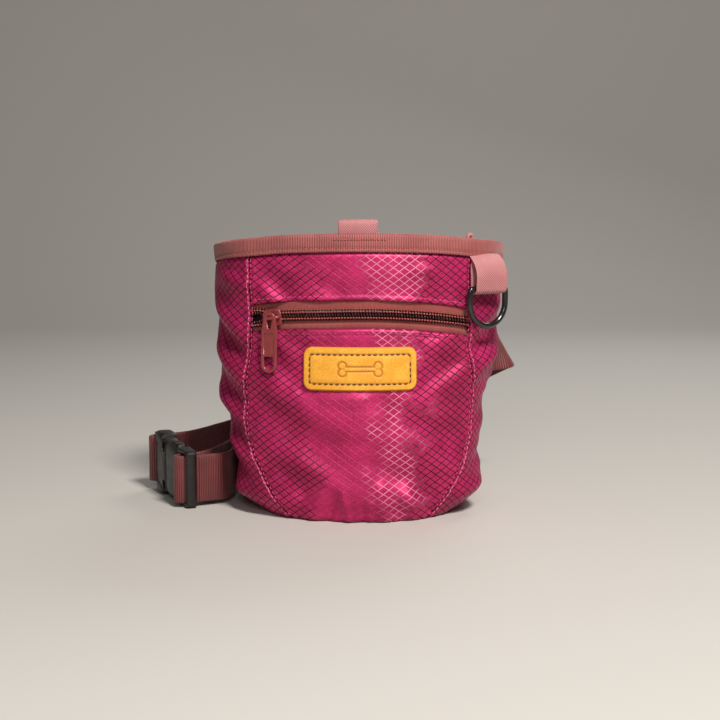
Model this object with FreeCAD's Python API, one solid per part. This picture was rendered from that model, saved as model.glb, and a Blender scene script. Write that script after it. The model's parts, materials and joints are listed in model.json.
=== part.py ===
"""Treat pouch on a waist belt: soft round pouch, zipped front pocket, D-ring and side-release buckle.

Millimetres. +Z is up, the front faces -Y, +X is to the right of someone facing the front.
The origin is the centre of the base, on the surface that the pouch stands on.
"""
import FreeCAD, Part
import math
import os

V = FreeCAD.Vector
UP = V(0, 0, 1)

# ---- driving dimensions -------------------------------------------------------------------
# Horizontal outlines of the outside: height, half width, front, back, front radius, seam angle.
LEVELS = (
    (0.0, 60.0, 48.0, 46.0, 100.0, 26.0),
    (10.0, 64.2, 50.0, 46.2, 105.0, 27.0),
    (118.0, 75.0, 50.0, 47.6, 113.0, 28.6),
    (124.0, 75.6, 50.0, 47.7, 113.4, 28.7),
    (150.0, 78.2, 50.0, 48.0, 115.0, 29.1),
)
POCKET_TOP_LEVEL = 2        # the zipped pocket lies in front of the lining up to this level
BACK_CORNER = 30.0

RIM_FRONT_Z = 143.5
RIM_TILT = 9.0              # degrees, falling to the back
FRONT_Y = -50.0

PANEL = (0.05, 1.25)        # outer fabric: distance of its two faces inside the outline
STIFFENER = (1.4, 2.2)
MAGNET = (1.4, 3.0)
LINING = (3.2, 3.7)
BINDING = (-1.0, 4.6)
BINDING_FOLD = (-0.05, 3.85)
POCKET_DEPTH = 3.4
BACKING_DEPTH = (4.2, 4.7)
BINDING_HEIGHT = 10.0
BINDING_TOP = 1.0

FRONT_PANEL_HALF = 57.5
FRONT_PANEL_FOOT = 42.0
FRONT_PANEL_BEND_Z = 27.0

ZIP_Z = 104.0               # height of the zipper's middle at the centre of the front
ZIP_DROP = 5.0              # how much lower its ends are
ZIP_HALF_X = 54.6
ZIP_BACK = 14.4             # how much further back its ends are
ZIP_OPENING = 14.0
COIL_OUTER = 3.5
COIL_INNER = 0.8
SLIDER_X = -43.4            # the slider rests at the left end

BUCKLE_AT = V(-100.1, 9.3, 17.0)
BUCKLE_AXIS = V(-0.415, 0.91, 0.0)
BUCKLE_HALF_WIDTH = 15.0
DOME_HALF_WIDTH = 17.0      # over the plug's two rounded shoulders
BUCKLE_HALF_THICK = 4.7
BUCKLE_HALF = 32.0
BODY_END = 19.6             # where each half's body ends and its frame for the webbing starts
WEBBING_BAR = 24.6          # the bar that the webbing folds round
END_BAR = 29.6
ARM_PIVOT = 0.8             # where each spring arm bends, past the joint line

BELT_WIDTH = 25.0
BELT_THICK = 1.5
SLEEVE_HALF = 48.0
SLEEVE_Z = 75.0
SLEEVE_HEIGHT = 30.0
BELT_Y = 49.9

D_BAR_Z = 115.7
D_WIRE = 1.4
D_HALF = 11.4
D_STRAIGHT = 8.2
D_PLACE = 44.0              # degrees from the front towards the right, round the corner
D_FACING = 34.0             # the way that the ring itself faces
D_CORNER = (35.0, -1.0)     # middle of the corner's curve at that height
D_STAND_OFF = 0.9           # room for the end of the bar that is turned in
WEBBING = 1.2
LOOP_WIDTH = 20.0

# Belt routes, chosen by hand: from each end of the sleeve to the fold at the buckle.
ROUTE_PLUG = (
    (-49.0, 49.9, 75.0), (-57.0, 50.4, 75.0), (-65.0, 54.0, 75.0), (-66.0, 61.5, 74.6),
    (-57.5, 65.8, 74.0), (-40.0, 68.5, 72.0), (-18.0, 73.0, 67.0), (-2.5, 79.5, 60.0),
    (1.5, 87.0, 53.5), (-6.0, 91.5, 46.5), (-21.0, 84.0, 39.0), (-38.0, 71.5, 32.5),
    (-56.0, 58.5, 27.0), (-73.0, 50.0, 22.5), (-87.5, 44.9, 18.4), (-99.01, 40.41, 16.6),
    (-107.75, 36.43, 16.6),
)
ROUTE_SOCKET = (
    (49.0, 49.9, 75.0), (58.0, 50.2, 75.0), (69.0, 51.8, 75.2), (80.0, 54.8, 75.8),
    (81.5, 62.5, 75.4), (70.5, 67.5, 69.5), (54.0, 72.0, 60.5), (36.0, 78.0, 50.0),
    (16.0, 86.0, 39.0), (-6.0, 95.0, 27.5), (-27.0, 101.5, 17.5), (-45.0, 106.5, 13.2),
    (-53.5, 113.5, 12.8), (-44.0, 120.5, 12.8), (-18.0, 122.0, 12.8), (12.0, 120.5, 12.8),
    (38.0, 116.5, 12.8), (54.5, 107.0, 12.8), (60.0, 92.0, 12.8), (59.0, 75.5, 12.8),
    (51.5, 60.5, 12.8), (37.0, 52.4, 12.8), (17.0, 50.0, 12.8), (-7.0, 50.2, 12.8),
    (-29.0, 50.4, 13.0), (-47.0, 47.6, 13.4), (-61.0, 37.0, 14.0), (-67.8, 22.0, 14.8),
    (-68.0, 6.0, 15.6), (-69.8, -5.8, 16.2), (-76.71, -10.65, 16.6), (-84.63, -14.26, 16.6),
)
FOLD_AT_PLUG = ((-4.2, 27.85), (5.3, 27.7), (5.3, 21.5), (-4.4, 21.3), (-9.5, 25.9), (-15.0, 26.1))
FOLD_AT_SOCKET = ((-4.2, -27.85), (6.7, -27.7), (6.7, -21.5), (-4.2, -21.3))
TAIL = ((-4.35, -21.3), (-10.5, -20.6), (-21.4, -11.2), (-31.3, -0.3), (-38.5, 9.5), (-45.9, 16.1))
FOLD_DROP = -0.4            # the webbing lies a little low in the buckle

nodes = {}


# ---- shared shapes ------------------------------------------------------------------------
def arc(start, through, end):
    return Part.Arc(V(*start), V(*through), V(*end)).toShape()


def outline(level, inset, pocket):
    """Closed outline at one level: front arc, two corner arcs, straight sides, back corners, back."""
    z, half, front, back, radius, seam = LEVELS[level]
    depth = pocket if level <= POCKET_TOP_LEVEL else 0.0
    angle = math.radians(seam)
    half, back, corner = half - inset, back - inset, BACK_CORNER - inset
    radius -= inset + depth
    front -= inset + depth
    seam_x = radius * math.sin(angle)
    seam_y = radius * (1 - math.cos(angle)) - front
    side = (half - seam_x) / (1 - math.sin(angle))
    side_x, side_y = half - side, seam_y + side * math.cos(angle)
    middle = math.radians((90 + seam) / 2)
    turn_x, turn_y = side_x + side * math.sin(middle), side_y - side * math.cos(middle)
    knee = corner * (1 - math.sqrt(0.5))
    edges = [arc((-seam_x, seam_y, z), (0, -front, z), (seam_x, seam_y, z))]
    edges += [arc((seam_x, seam_y, z), (turn_x, turn_y, z), (half, side_y, z))]
    edges += [Part.makeLine(V(half, side_y, z), V(half, back - corner, z))]
    edges += [arc((half, back - corner, z), (half - knee, back - knee, z), (half - corner, back, z))]
    edges += [Part.makeLine(V(half - corner, back, z), V(corner - half, back, z))]
    edges += [arc((corner - half, back, z), (knee - half, back - knee, z), (-half, back - corner, z))]
    edges += [Part.makeLine(V(-half, back - corner, z), V(-half, side_y, z))]
    edges += [arc((-half, side_y, z), (-turn_x, turn_y, z), (-seam_x, seam_y, z))]
    return Part.Wire(edges)


def body(inset, pocket=0.0):
    """The pouch as one solid, every face moved in by inset, the front of it also by pocket."""
    wires = [outline(level, inset, pocket) for level in range(len(LEVELS))]
    return Part.makeLoft(wires, True, True)


def skin(faces, pocket=0.0):
    return body(faces[0], pocket).cut(body(faces[1], pocket))


def block(x0, x1, y0, y1, z0, z1):
    return Part.makeBox(x1 - x0, y1 - y0, z1 - z0, V(x0, y0, z0))


def under_rim(drop):
    """Everything below the tilted plane of the rim, lowered by drop."""
    solid = block(-200, 200, -200, 200, -300, 0)
    solid.rotate(V(0, 0, 0), V(1, 0, 0), -RIM_TILT)
    solid.translate(V(0, FRONT_Y, RIM_FRONT_Z - drop))
    return solid


def prism(points, y0, y1):
    """A polygon in X and Z, extruded along Y."""
    corners = [V(x, y0, z) for x, z in points]
    face = Part.Face(Part.makePolygon(corners + corners[:1]))
    return face.extrude(V(0, y1 - y0, 0))


def smooth_path(points, steps=5):
    """Straight runs joined by tangent arcs: returns samples along them, and the arcs' radii."""
    samples, radii = [points[0]], []
    for before, here, after in zip(points, points[1:], points[2:]):
        run_in, run_out = here - before, after - here
        turn = run_in.getAngle(run_out)
        reach = 0.45 * min(run_in.Length, run_out.Length)
        radii.append(reach / math.tan(turn / 2))
        start = here - V(run_in).normalize() * reach
        end = here + V(run_out).normalize() * reach
        inward = (V(run_out).normalize() - V(run_in).normalize()).normalize()
        centre = here + inward * (reach / math.sin(turn / 2))
        first, last = start - centre, end - centre
        sweep = first.getAngle(last)
        for step in range(steps + 1):
            t = step / steps
            a, b = math.sin((1 - t) * sweep), math.sin(t * sweep)
            samples.append(centre + (first * a + last * b) * (1 / math.sin(sweep)))
    samples.append(points[-1])
    return samples, radii


def ribbon(points, name):
    """Webbing that stands on its edge along a route: upright sections joined by ruled faces."""
    samples, radii = smooth_path(points)
    sections = []
    for i, point in enumerate(samples):
        along = samples[min(i + 1, len(samples) - 1)] - samples[max(i - 1, 0)]
        across = V(along.y, -along.x, 0).normalize() * (BELT_THICK / 2)
        rise = UP * (BELT_WIDTH / 2)
        corners = [point + across + rise, point - across + rise]
        corners += [point - across - rise, point + across - rise]
        sections.append([Part.makeLine(a, b) for a, b in zip(corners, corners[1:] + corners[:1])])
    faces = [Part.Face(Part.Wire(sections[0])), Part.Face(Part.Wire(sections[-1]))]
    for near, far in zip(sections, sections[1:]):
        faces += [Part.makeRuledSurface(a, b) for a, b in zip(near, far)]
    shell = Part.makeShell(faces)
    shell.sewShape()
    solid = Part.makeSolid(shell)
    if solid.Volume < 0:
        solid.reverse()
    length = sum(a.distanceToPoint(b) for a, b in zip(samples, samples[1:]))
    share = solid.Volume / (length * BELT_WIDTH * BELT_THICK)
    print(f"{name}: {length:.0f} mm, volume share {share:.3f}, smallest radius {min(radii):.1f} mm")
    return solid


# ---- fabric body --------------------------------------------------------------------------
def front_shape():
    """The U-shaped outline of the front panels, seen from the front."""
    half, foot, bend = FRONT_PANEL_HALF, FRONT_PANEL_FOOT, FRONT_PANEL_BEND_Z
    low = bend * 0.45
    side = half - 4.0
    points = ((-foot, -1), (-side, low), (-half, bend), (-half, 160))
    points += ((half, 160), (half, bend), (side, low), (foot, -1))
    return prism(points, -90, -14)


def zip_frame():
    """Centre and axis of the circle that the zipper follows, tilted so that its ends are lower."""
    run = math.hypot(ZIP_BACK, ZIP_DROP)
    radius = (ZIP_HALF_X ** 2 + run ** 2) / (2 * run)
    inward = V(0, ZIP_BACK / run, -ZIP_DROP / run)
    centre = V(0, FRONT_Y, ZIP_Z) + inward * radius
    return centre, V(0, ZIP_DROP / run, ZIP_BACK / run), radius


def swept_band(depth0, depth1, rise0, rise1, half_angle):
    """A rectangle at the centre of the front, turned about the zipper's axis to both sides."""
    centre, axis, _ = zip_frame()
    corners = [V(0, FRONT_Y + d, ZIP_Z + r) for d, r in
               ((depth0, rise0), (depth1, rise0), (depth1, rise1), (depth0, rise1))]
    face = Part.Face(Part.makePolygon(corners + corners[:1]))
    face.rotate(centre, axis, -half_angle)
    return face.revolve(centre, axis, 2 * half_angle)


def make_panels():
    wall = skin(PANEL).common(under_rim(BINDING_TOP + 0.05))
    front = wall.common(front_shape())
    opening = swept_band(-8, 8, -ZIP_OPENING / 2, ZIP_OPENING / 2, 40)
    around = front.cut(opening)
    pieces = sorted(around.Solids, key=lambda solid: solid.CenterOfMass.z)
    nodes["front_lower_panel"] = pieces[0]
    nodes["front_upper_panel"] = pieces[-1]
    rest = wall.cut(front_shape())
    back_box = block(-46, 46, 20, 90, -1, 160)
    nodes["back_panel"] = rest.common(back_box)
    sides = rest.cut(back_box)
    nodes["left_side_panel"] = sides.common(block(-100, 0, -90, 90, -1, 160))
    nodes["right_side_panel"] = sides.common(block(0, 100, -90, 90, -1, 160))
    nodes["base_panel"] = body(PANEL[1] + 0.05).common(block(-90, 90, -90, 90, 0, 1.4))


def make_lining():
    cup = body(LINING[0], POCKET_DEPTH).common(block(-90, 90, -90, 90, 1.6, 160))
    room = body(LINING[1], POCKET_DEPTH).common(block(-90, 90, -90, 90, 2.2, 160))
    nodes["lining"] = cup.cut(room).common(under_rim(BINDING_TOP + 0.05))
    backing = body(PANEL[1] + 0.1, BACKING_DEPTH[0]).cut(body(PANEL[1] + 0.1, BACKING_DEPTH[1]))
    window = block(-50, 50, -90, -20, 42, 117)
    nodes["pocket_backing"] = backing.common(window)


def make_rim():
    ring = skin(BINDING).common(under_rim(0)).cut(under_rim(BINDING_HEIGHT))
    fold = skin(BINDING_FOLD).common(under_rim(BINDING_TOP))
    nodes["rim_binding"] = ring.cut(fold)
    hoop = skin(STIFFENER).common(under_rim(BINDING_TOP + 0.3))
    nodes["rim_stiffener"] = hoop.cut(under_rim(BINDING_HEIGHT - 1))
    bars = skin(MAGNET)
    nodes["closure_magnet_front"] = bars.common(block(-20, 20, -90, 0, 122.5, 131.5))
    nodes["closure_magnet_back"] = bars.common(block(-20, 20, 0, 90, 106, 115))


def make_pull_tab():
    """Webbing loop that stands up behind the front of the rim."""
    half, middle, top, foot = 10.0, -1.0, 150.5, 131.0
    y, gap = -44.9, 1.0
    outer = block(middle - half, middle + half, y, y + 2 * WEBBING + gap, foot, top - 1.7)
    slot = block(middle - half, middle + half, y + WEBBING, y + WEBBING + gap, foot, top - 1.7)
    radius = WEBBING + gap / 2
    hood = Part.makeCylinder(radius, 2 * half, V(middle - half, y + radius, top - 1.7), V(1, 0, 0))
    hole = Part.makeCylinder(gap / 2, 2 * half, V(middle - half, y + radius, top - 1.7), V(1, 0, 0))
    nodes["pull_tab"] = outer.fuse(hood).cut(slot).cut(hole).removeSplitter()


def make_rim_loop():
    """Small folded end of cord that stands up behind the right of the rim."""
    at = V(55.5, -24.6, 139.8)
    stem = Part.makeCylinder(1.5, 8.4, at - V(0, 0, 8.8), UP)
    nodes["rim_cord_end"] = stem.fuse(Part.makeSphere(1.9, at)).removeSplitter()


def make_leather_patch():
    half_x, low, high, radius = 28.0, 66.4, 88.1, 4.5
    plate = block(-half_x, half_x, -90, -20, low, high)
    upright = [edge for edge in plate.Edges if abs(edge.tangentAt(edge.FirstParameter).y) > 0.9]
    window = plate.makeFillet(radius, upright)
    nodes["leather_patch"] = body(-1.8).cut(body(-0.05)).common(window)


# ---- zipper -------------------------------------------------------------------------------
def make_zipper():
    tape = (1.5, 2.2)
    reach = ZIP_OPENING / 2 + 3.5
    nodes["zipper_tape_upper"] = swept_band(*tape, COIL_OUTER, reach, 31.5)
    nodes["zipper_tape_lower"] = swept_band(*tape, -reach, -COIL_OUTER, 31.5)
    nodes["zipper_coil_upper"] = swept_band(0.4, 2.3, COIL_INNER, COIL_OUTER, 31.0)
    nodes["zipper_coil_lower"] = swept_band(0.4, 2.3, -COIL_OUTER, -COIL_INNER, 31.0)


def slider_turn():
    return -math.degrees(math.asin(-SLIDER_X / zip_frame()[2]))


def make_slider():
    """Two plates, the neck between the rows, and a bridge bar that the puller hangs on."""
    half_length, half_height, bar = 4.6, 4.4, 0.8
    bridge_y, bridge_z, post = FRONT_Y - 3.4, ZIP_Z, 0.9
    front = block(-half_length, half_length, FRONT_Y - 1.2, FRONT_Y, -half_height, half_height)
    rear = block(-half_length, half_length, FRONT_Y + 2.7, FRONT_Y + 3.7, -half_height, half_height)
    neck = block(-half_length, -1.6, FRONT_Y - 0.1, FRONT_Y + 2.8, -0.5, 0.5)
    shape = front.fuse([rear, neck])
    shape.translate(V(0, 0, ZIP_Z))
    for x in (-half_length, half_length - post):
        shape = shape.fuse(block(x, x + post, bridge_y - bar, FRONT_Y - 1.1, ZIP_Z - 1, ZIP_Z + 1))
    beam = Part.makeCylinder(bar, 2 * half_length, V(-half_length, bridge_y, bridge_z), V(1, 0, 0))
    shape = shape.fuse(beam).removeSplitter()
    centre, axis, _ = zip_frame()
    shape.rotate(centre, axis, slider_turn())
    nodes["zipper_slider"] = shape


def puller_frame():
    """Point on the bridge, hinge axis along it, and the direction that the puller hangs in."""
    centre, axis, _ = zip_frame()
    turn = FreeCAD.Rotation(axis, slider_turn())
    point = centre + turn.multVec(V(0, FRONT_Y - 3.4, ZIP_Z) - centre)
    along = turn.multVec(V(1, 0, 0))
    hang = V(0, 0, -1)
    hang = (hang - along * hang.dot(along)).normalize()
    return point, along, hang


def make_puller():
    """Flat pull: eye round the bridge, leaning plate with a U-shaped hole near its round end."""
    width, length, thick, eye, lean = 8.7, 27.2, 1.5, 0.85, 9.0
    plate = block(-width / 2, width / 2, -thick / 2, thick / 2, 3.4, length - width / 2)
    end = Part.makeCylinder(width / 2, thick, V(0, -thick / 2, length - width / 2), V(0, 1, 0))
    neck = block(-2.6, 2.6, -thick / 2, thick / 2, 0, 3.6)
    ring = Part.makeCylinder(eye + 0.9, 5.2, V(-2.6, 0, 0), V(1, 0, 0))
    bore = Part.makeCylinder(eye, 6, V(-3, 0, 0), V(1, 0, 0))
    hole = block(-2.4, 2.4, -thick, thick, length - 8.5, length - 4.6)
    round_end = Part.makeCylinder(2.4, 2 * thick, V(0, -thick, length - 4.6), V(0, 1, 0))
    plate = plate.fuse(end).cut(hole).cut(round_end)
    plate.rotate(V(0, 0, 0), V(0, 1, 0), -lean)
    shape = plate.fuse([neck, ring]).cut(bore).removeSplitter()
    point, along, hang = puller_frame()
    outward = hang.cross(along)
    matrix = FreeCAD.Matrix(along.x, outward.x, hang.x, point.x,
                            along.y, outward.y, hang.y, point.y,
                            along.z, outward.z, hang.z, point.z, 0, 0, 0, 1)
    nodes["zipper_puller"] = shape.transformGeometry(matrix)


# ---- D-ring -------------------------------------------------------------------------------
def d_frame():
    """Bar centre of the D-ring, the direction along its bar and the way it faces."""
    place, turn = math.radians(D_PLACE), math.radians(D_FACING)
    outward = V(math.sin(place), -math.cos(place), 0)
    corner = V(*D_CORNER, D_BAR_Z)
    probe = Part.makeLine(corner, corner + outward * 90)
    wall = probe.common(body(0.0)).Vertexes
    surface = max((vertex.Point for vertex in wall), key=lambda point: point.dot(outward))
    point = surface + outward * (0.4 + WEBBING + 0.05 + D_WIRE + D_STAND_OFF)
    return point, V(math.cos(turn), math.sin(turn), 0), V(math.sin(turn), -math.cos(turn), 0)


def make_d_ring():
    point, along, facing = d_frame()
    bar = Part.makeCylinder(D_WIRE, 2 * D_HALF, point - along * D_HALF, along)
    shape = bar
    for side in (-1, 1):
        top = point + along * (side * D_HALF)
        shape = shape.fuse([Part.makeSphere(D_WIRE, top),
                            Part.makeCylinder(D_WIRE, D_STRAIGHT, top, -UP)])
    low = point - UP * D_STRAIGHT
    bend = Part.makeTorus(D_HALF, D_WIRE, low, facing)
    keep = Part.makeBox(60, 60, 60, V(-30, -30, -60))
    keep.translate(low)
    shape = shape.fuse(bend.common(keep)).removeSplitter()
    nodes["d_ring"] = shape
    make_d_loop(point, along, facing)


def make_d_loop(point, along, facing):
    """Webbing from under the binding, round the bar and back: plies either side of the bar."""
    inner, top = D_WIRE + 0.06, 133.0 - D_BAR_Z
    outer = inner + WEBBING
    profile = Part.Wire([
        Part.makeLine(V(-outer, 0, top), V(-outer, 0, 0)),
        arc((-outer, 0, 0), (0, 0, -outer), (outer, 0, 0)),
        Part.makeLine(V(outer, 0, 0), V(outer, 0, top * 0.45)),
        Part.makeLine(V(outer, 0, top * 0.45), V(-outer + 2 * WEBBING, 0, top)),
        Part.makeLine(V(-outer + 2 * WEBBING, 0, top), V(-outer, 0, top))])
    room = Part.Wire([
        Part.makeLine(V(-inner, 0, top * 0.8), V(-inner, 0, 0)),
        arc((-inner, 0, 0), (0, 0, -inner), (inner, 0, 0)),
        Part.makeLine(V(inner, 0, 0), V(inner, 0, top * 0.42)),
        Part.makeLine(V(inner, 0, top * 0.42), V(-inner, 0, top * 0.8))])
    width = LOOP_WIDTH - 0.6
    shape = Part.Face(profile).extrude(V(0, width, 0)).cut(Part.Face(room).extrude(V(0, width, 0)))
    shape.translate(V(0, -width / 2, 0))
    matrix = FreeCAD.Matrix(facing.x, along.x, 0, point.x, facing.y, along.y, 0, point.y,
                            0, 0, 1, point.z, 0, 0, 0, 1)
    loop = shape.transformGeometry(matrix)
    ring = skin((BINDING[0] - 0.05, BINDING[1])).common(under_rim(0)).cut(under_rim(BINDING_HEIGHT + 0.05))
    nodes["d_ring_loop"] = loop.cut(ring).cut(body(-0.05))


# ---- belt ---------------------------------------------------------------------------------
def buckle_place(shape):
    """From the buckle's own axes (X outward, Y from socket to plug, Z up) to the pouch's frame."""
    along = V(BUCKLE_AXIS).normalize()
    out = V(-along.y, along.x, 0)
    at = BUCKLE_AT
    matrix = FreeCAD.Matrix(out.x, along.x, 0, at.x, out.y, along.y, 0, at.y,
                            0, 0, 1, at.z, 0, 0, 0, 1)
    return shape.transformGeometry(matrix)


def buckle_point(out, along):
    axis = V(BUCKLE_AXIS).normalize()
    return BUCKLE_AT + V(-axis.y, axis.x, 0) * out + axis * along + UP * FOLD_DROP


def make_belt():
    nodes["belt_plug_side"] = ribbon([V(*point) for point in ROUTE_PLUG], "belt_plug_side")
    nodes["belt_socket_side"] = ribbon([V(*point) for point in ROUTE_SOCKET], "belt_socket_side")
    half = BELT_THICK / 2
    z0, z1 = SLEEVE_Z - BELT_WIDTH / 2, SLEEVE_Z + BELT_WIDTH / 2
    nodes["belt_in_sleeve"] = block(-49, 49, BELT_Y - half, BELT_Y + half, z0, z1)
    for name, fold in (("belt_fold_plug", FOLD_AT_PLUG), ("belt_fold_socket", FOLD_AT_SOCKET),
                       ("belt_tail", TAIL)):
        nodes[name] = ribbon([buckle_point(*point) for point in fold], name)


def make_sleeve():
    low, high = SLEEVE_Z - SLEEVE_HEIGHT / 2, SLEEVE_Z + SLEEVE_HEIGHT / 2
    outer = block(-SLEEVE_HALF, SLEEVE_HALF, 40, BELT_Y + 2.4, low, high)
    channel = block(-SLEEVE_HALF, SLEEVE_HALF, 40, BELT_Y + 1.3, low + 1.2, high - 1.2)
    nodes["belt_sleeve"] = outer.cut(channel).cut(body(-0.05))


# ---- buckle -------------------------------------------------------------------------------
def rounded_block(x, y0, y1, z, radius):
    """A block about the buckle's axis with its long edges rounded."""
    shape = block(-x, x, y0, y1, -z, z)
    edges = [edge for edge in shape.Edges if abs(edge.tangentAt(edge.FirstParameter).y) > 0.9]
    return shape.makeFillet(radius, edges)


def end_frame():
    """Two side rails, the bar that the webbing folds round, and the end bar beyond it."""
    rail, radius, inside = 3.5, 1.5, BUCKLE_HALF_WIDTH - 2.1
    frame = rounded_block(rail, BODY_END - 0.2, BUCKLE_HALF, BUCKLE_HALF_WIDTH, 2.0)
    window = block(-rail - 1, rail + 1, BODY_END - 1, END_BAR, -inside, inside)
    bar = Part.makeCylinder(radius, 2 * inside + 2, V(0, WEBBING_BAR, -inside - 1), UP)
    return frame.cut(window).fuse(bar)


def arm(side):
    """Springy side arm of the plug, with the thumb pad that fills the socket's side window."""
    root = block(-1.6, 1.6, -2.0, ARM_PIVOT + 0.8, 8.6, 11.4)
    beam = block(-1.6, 1.6, -16.0, -2.0, 9.2, 11.4)
    pad = block(-2.6, 2.6, -16.0, -6.0, 11.4, BUCKLE_HALF_WIDTH + 0.4)
    shape = root.fuse([beam, pad]).removeSplitter()
    if side < 0:
        shape = shape.mirror(V(0, 0, 0), UP)
    return buckle_place(shape)


def make_buckle():
    half, thick, wall, gap = BUCKLE_HALF_WIDTH, BUCKLE_HALF_THICK, 1.5, 0.3
    shell = rounded_block(thick, -BODY_END, -gap, half, 3.6)
    cavity = block(-thick + wall, thick - wall, -BODY_END + 1.7, 1.0, -half + 3.0, half - 3.0)
    windows = block(-3.0, 3.0, -17.0, -5.4, -half - 1, half + 1)
    frame = end_frame()
    socket = shell.cut(cavity).cut(windows).fuse(frame.mirror(V(0, 0, 0), V(0, 1, 0)))
    nodes["buckle_socket"] = buckle_place(socket.removeSplitter())
    head = rounded_block(thick, gap, BODY_END, half, 3.6)
    head = head.fuse(rounded_block(3.4, 6.0, 17.4, DOME_HALF_WIDTH, 2.4))
    recess = block(-1.9, 1.9, -1.0, ARM_PIVOT + 1.1, 8.3, 11.7)
    eye = block(-thick - 1, thick + 1, 2.9, 6.2, 8.0, 12.4)
    for hole in (recess, eye):
        head = head.cut(hole).cut(hole.mirror(V(0, 0, 0), UP))
    tongue = block(-2.4, 2.4, -16.0, gap + 0.1, -2.0, 2.0)
    nodes["buckle_plug"] = buckle_place(head.fuse([tongue, frame]).removeSplitter())
    nodes["buckle_upper_arm"] = arm(1)
    nodes["buckle_lower_arm"] = arm(-1)


def main():
    make_panels()
    make_lining()
    make_rim()
    make_pull_tab()
    make_rim_loop()
    make_leather_patch()
    make_zipper()
    make_slider()
    make_puller()
    make_d_ring()
    make_belt()
    make_sleeve()
    make_buckle()
    os.makedirs("parts", exist_ok=True)
    for name, shape in nodes.items():
        shape.exportStep(f"parts/{name}.step")


main()
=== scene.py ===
"""Treat pouch on a waist belt: the visible pieces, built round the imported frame."""
import json
import math

import bmesh
import bpy
from mathutils import Matrix, Vector, noise


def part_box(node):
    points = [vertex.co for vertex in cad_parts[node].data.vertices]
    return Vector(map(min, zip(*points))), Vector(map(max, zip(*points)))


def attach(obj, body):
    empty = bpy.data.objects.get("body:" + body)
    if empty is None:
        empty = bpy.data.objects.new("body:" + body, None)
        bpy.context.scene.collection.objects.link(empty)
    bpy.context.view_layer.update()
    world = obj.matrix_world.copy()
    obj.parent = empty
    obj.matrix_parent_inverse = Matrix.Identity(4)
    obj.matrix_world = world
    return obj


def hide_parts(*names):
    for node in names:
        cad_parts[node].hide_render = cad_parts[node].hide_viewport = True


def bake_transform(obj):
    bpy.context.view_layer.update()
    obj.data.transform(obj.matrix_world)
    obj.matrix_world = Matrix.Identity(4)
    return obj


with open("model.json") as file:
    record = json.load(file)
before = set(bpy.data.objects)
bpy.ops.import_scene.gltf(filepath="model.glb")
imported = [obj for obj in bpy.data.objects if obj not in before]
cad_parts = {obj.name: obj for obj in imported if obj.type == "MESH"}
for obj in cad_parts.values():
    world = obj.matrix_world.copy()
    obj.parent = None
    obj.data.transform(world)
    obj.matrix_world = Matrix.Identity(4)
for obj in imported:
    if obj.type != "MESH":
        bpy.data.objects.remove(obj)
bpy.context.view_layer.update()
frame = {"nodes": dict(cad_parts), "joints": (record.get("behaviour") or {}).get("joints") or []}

MM = 0.001
UP = Vector((0, 0, 1))

# ---- the pouch's shape, in millimetres, as the frame has it -------------------------------
# Horizontal outlines: height, half width, front, back, front radius, seam angle.
LEVELS = (
    (0.0, 60.0, 48.0, 46.0, 100.0, 26.0),
    (10.0, 64.2, 50.0, 46.2, 105.0, 27.0),
    (150.0, 78.2, 50.0, 48.0, 115.0, 29.1),
)
BACK_CORNER = 30.0
RIM_FRONT_Z = 143.5
RIM_SLOPE = math.tan(math.radians(9.0))
FRONT_Y = -50.0
BINDING_HEIGHT = 9.0
BACK_SEAM_X = 46.0
BACK_OF_CLOTH = 300.0  # how far along the weave the back is cut from
GIRTH_Z = 130.0  # where the way round the rim is measured
CLOTH_FOOT_Z = 0.5
UNDER_RIM = 1.5  # how far the cloth's top stays below the rim's
CLOTH_THICK = 0.7
ZIP_Z = 104.0
ZIP_HALF_OPENING = 6.7
ZIP_END_X = 56.0
SLIDER_X = -43.4
SLIDER_LIFT = 0.7  # shares the mouth's lift between the two ends of the slider's run
PULLER_LEAN = -9.0
SHARP = math.radians(38)  # a steeper angle than this stays an edge on the buckle

joints = {joint["name"]: joint for joint in frame["joints"]}
zip_centre = Vector(joints["zipper_run"]["pos_m"]) / MM
zip_axis = Vector(joints["zipper_run"]["axis"])
zip_radius = (Vector((0, FRONT_Y, ZIP_Z)) - zip_centre).length


def mix(a, b, t):
    return a + (b - a) * t


def steps(a, b, count):
    """Even steps from a to b, both ends in."""
    return [mix(a, b, k / count) for k in range(count + 1)]


def smooth(t):
    """0 to 1 with a gentle start and end."""
    t = min(max(t, 0.0), 1.0)
    return t * t * (3 - 2 * t)


def bell(x, width):
    """1 at x = 0, falling to both sides."""
    return math.exp(-(x / width) ** 2)


def uneven(x, y, z):
    """Fixed soft noise, from about -1 to 1."""
    return noise.noise(Vector((x, y, z)))


def shape_at(z):
    """The outline's sizes at height z, between the levels."""
    low, high = (LEVELS[0], LEVELS[1]) if z < LEVELS[1][0] else (LEVELS[1], LEVELS[2])
    t = (z - low[0]) / (high[0] - low[0])
    return [mix(a, b, t) for a, b in zip(low[1:], high[1:])]


def outline_lengths(z):
    """Centres, radii and run lengths of the outline's pieces, from the front centre to the back."""
    half, front, back, radius, seam = shape_at(z)
    angle = math.radians(seam)
    seam_x = radius * math.sin(angle)
    seam_y = radius * (1 - math.cos(angle)) - front
    side = (half - seam_x) / (1 - math.sin(angle))
    centre = (half - side, seam_y + side * math.cos(angle))
    runs = (radius * angle, side * (math.pi / 2 - angle), back - BACK_CORNER - centre[1],
            BACK_CORNER * math.pi / 2, half - BACK_CORNER)
    return half, front, back, radius, angle, side, centre, runs


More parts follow.
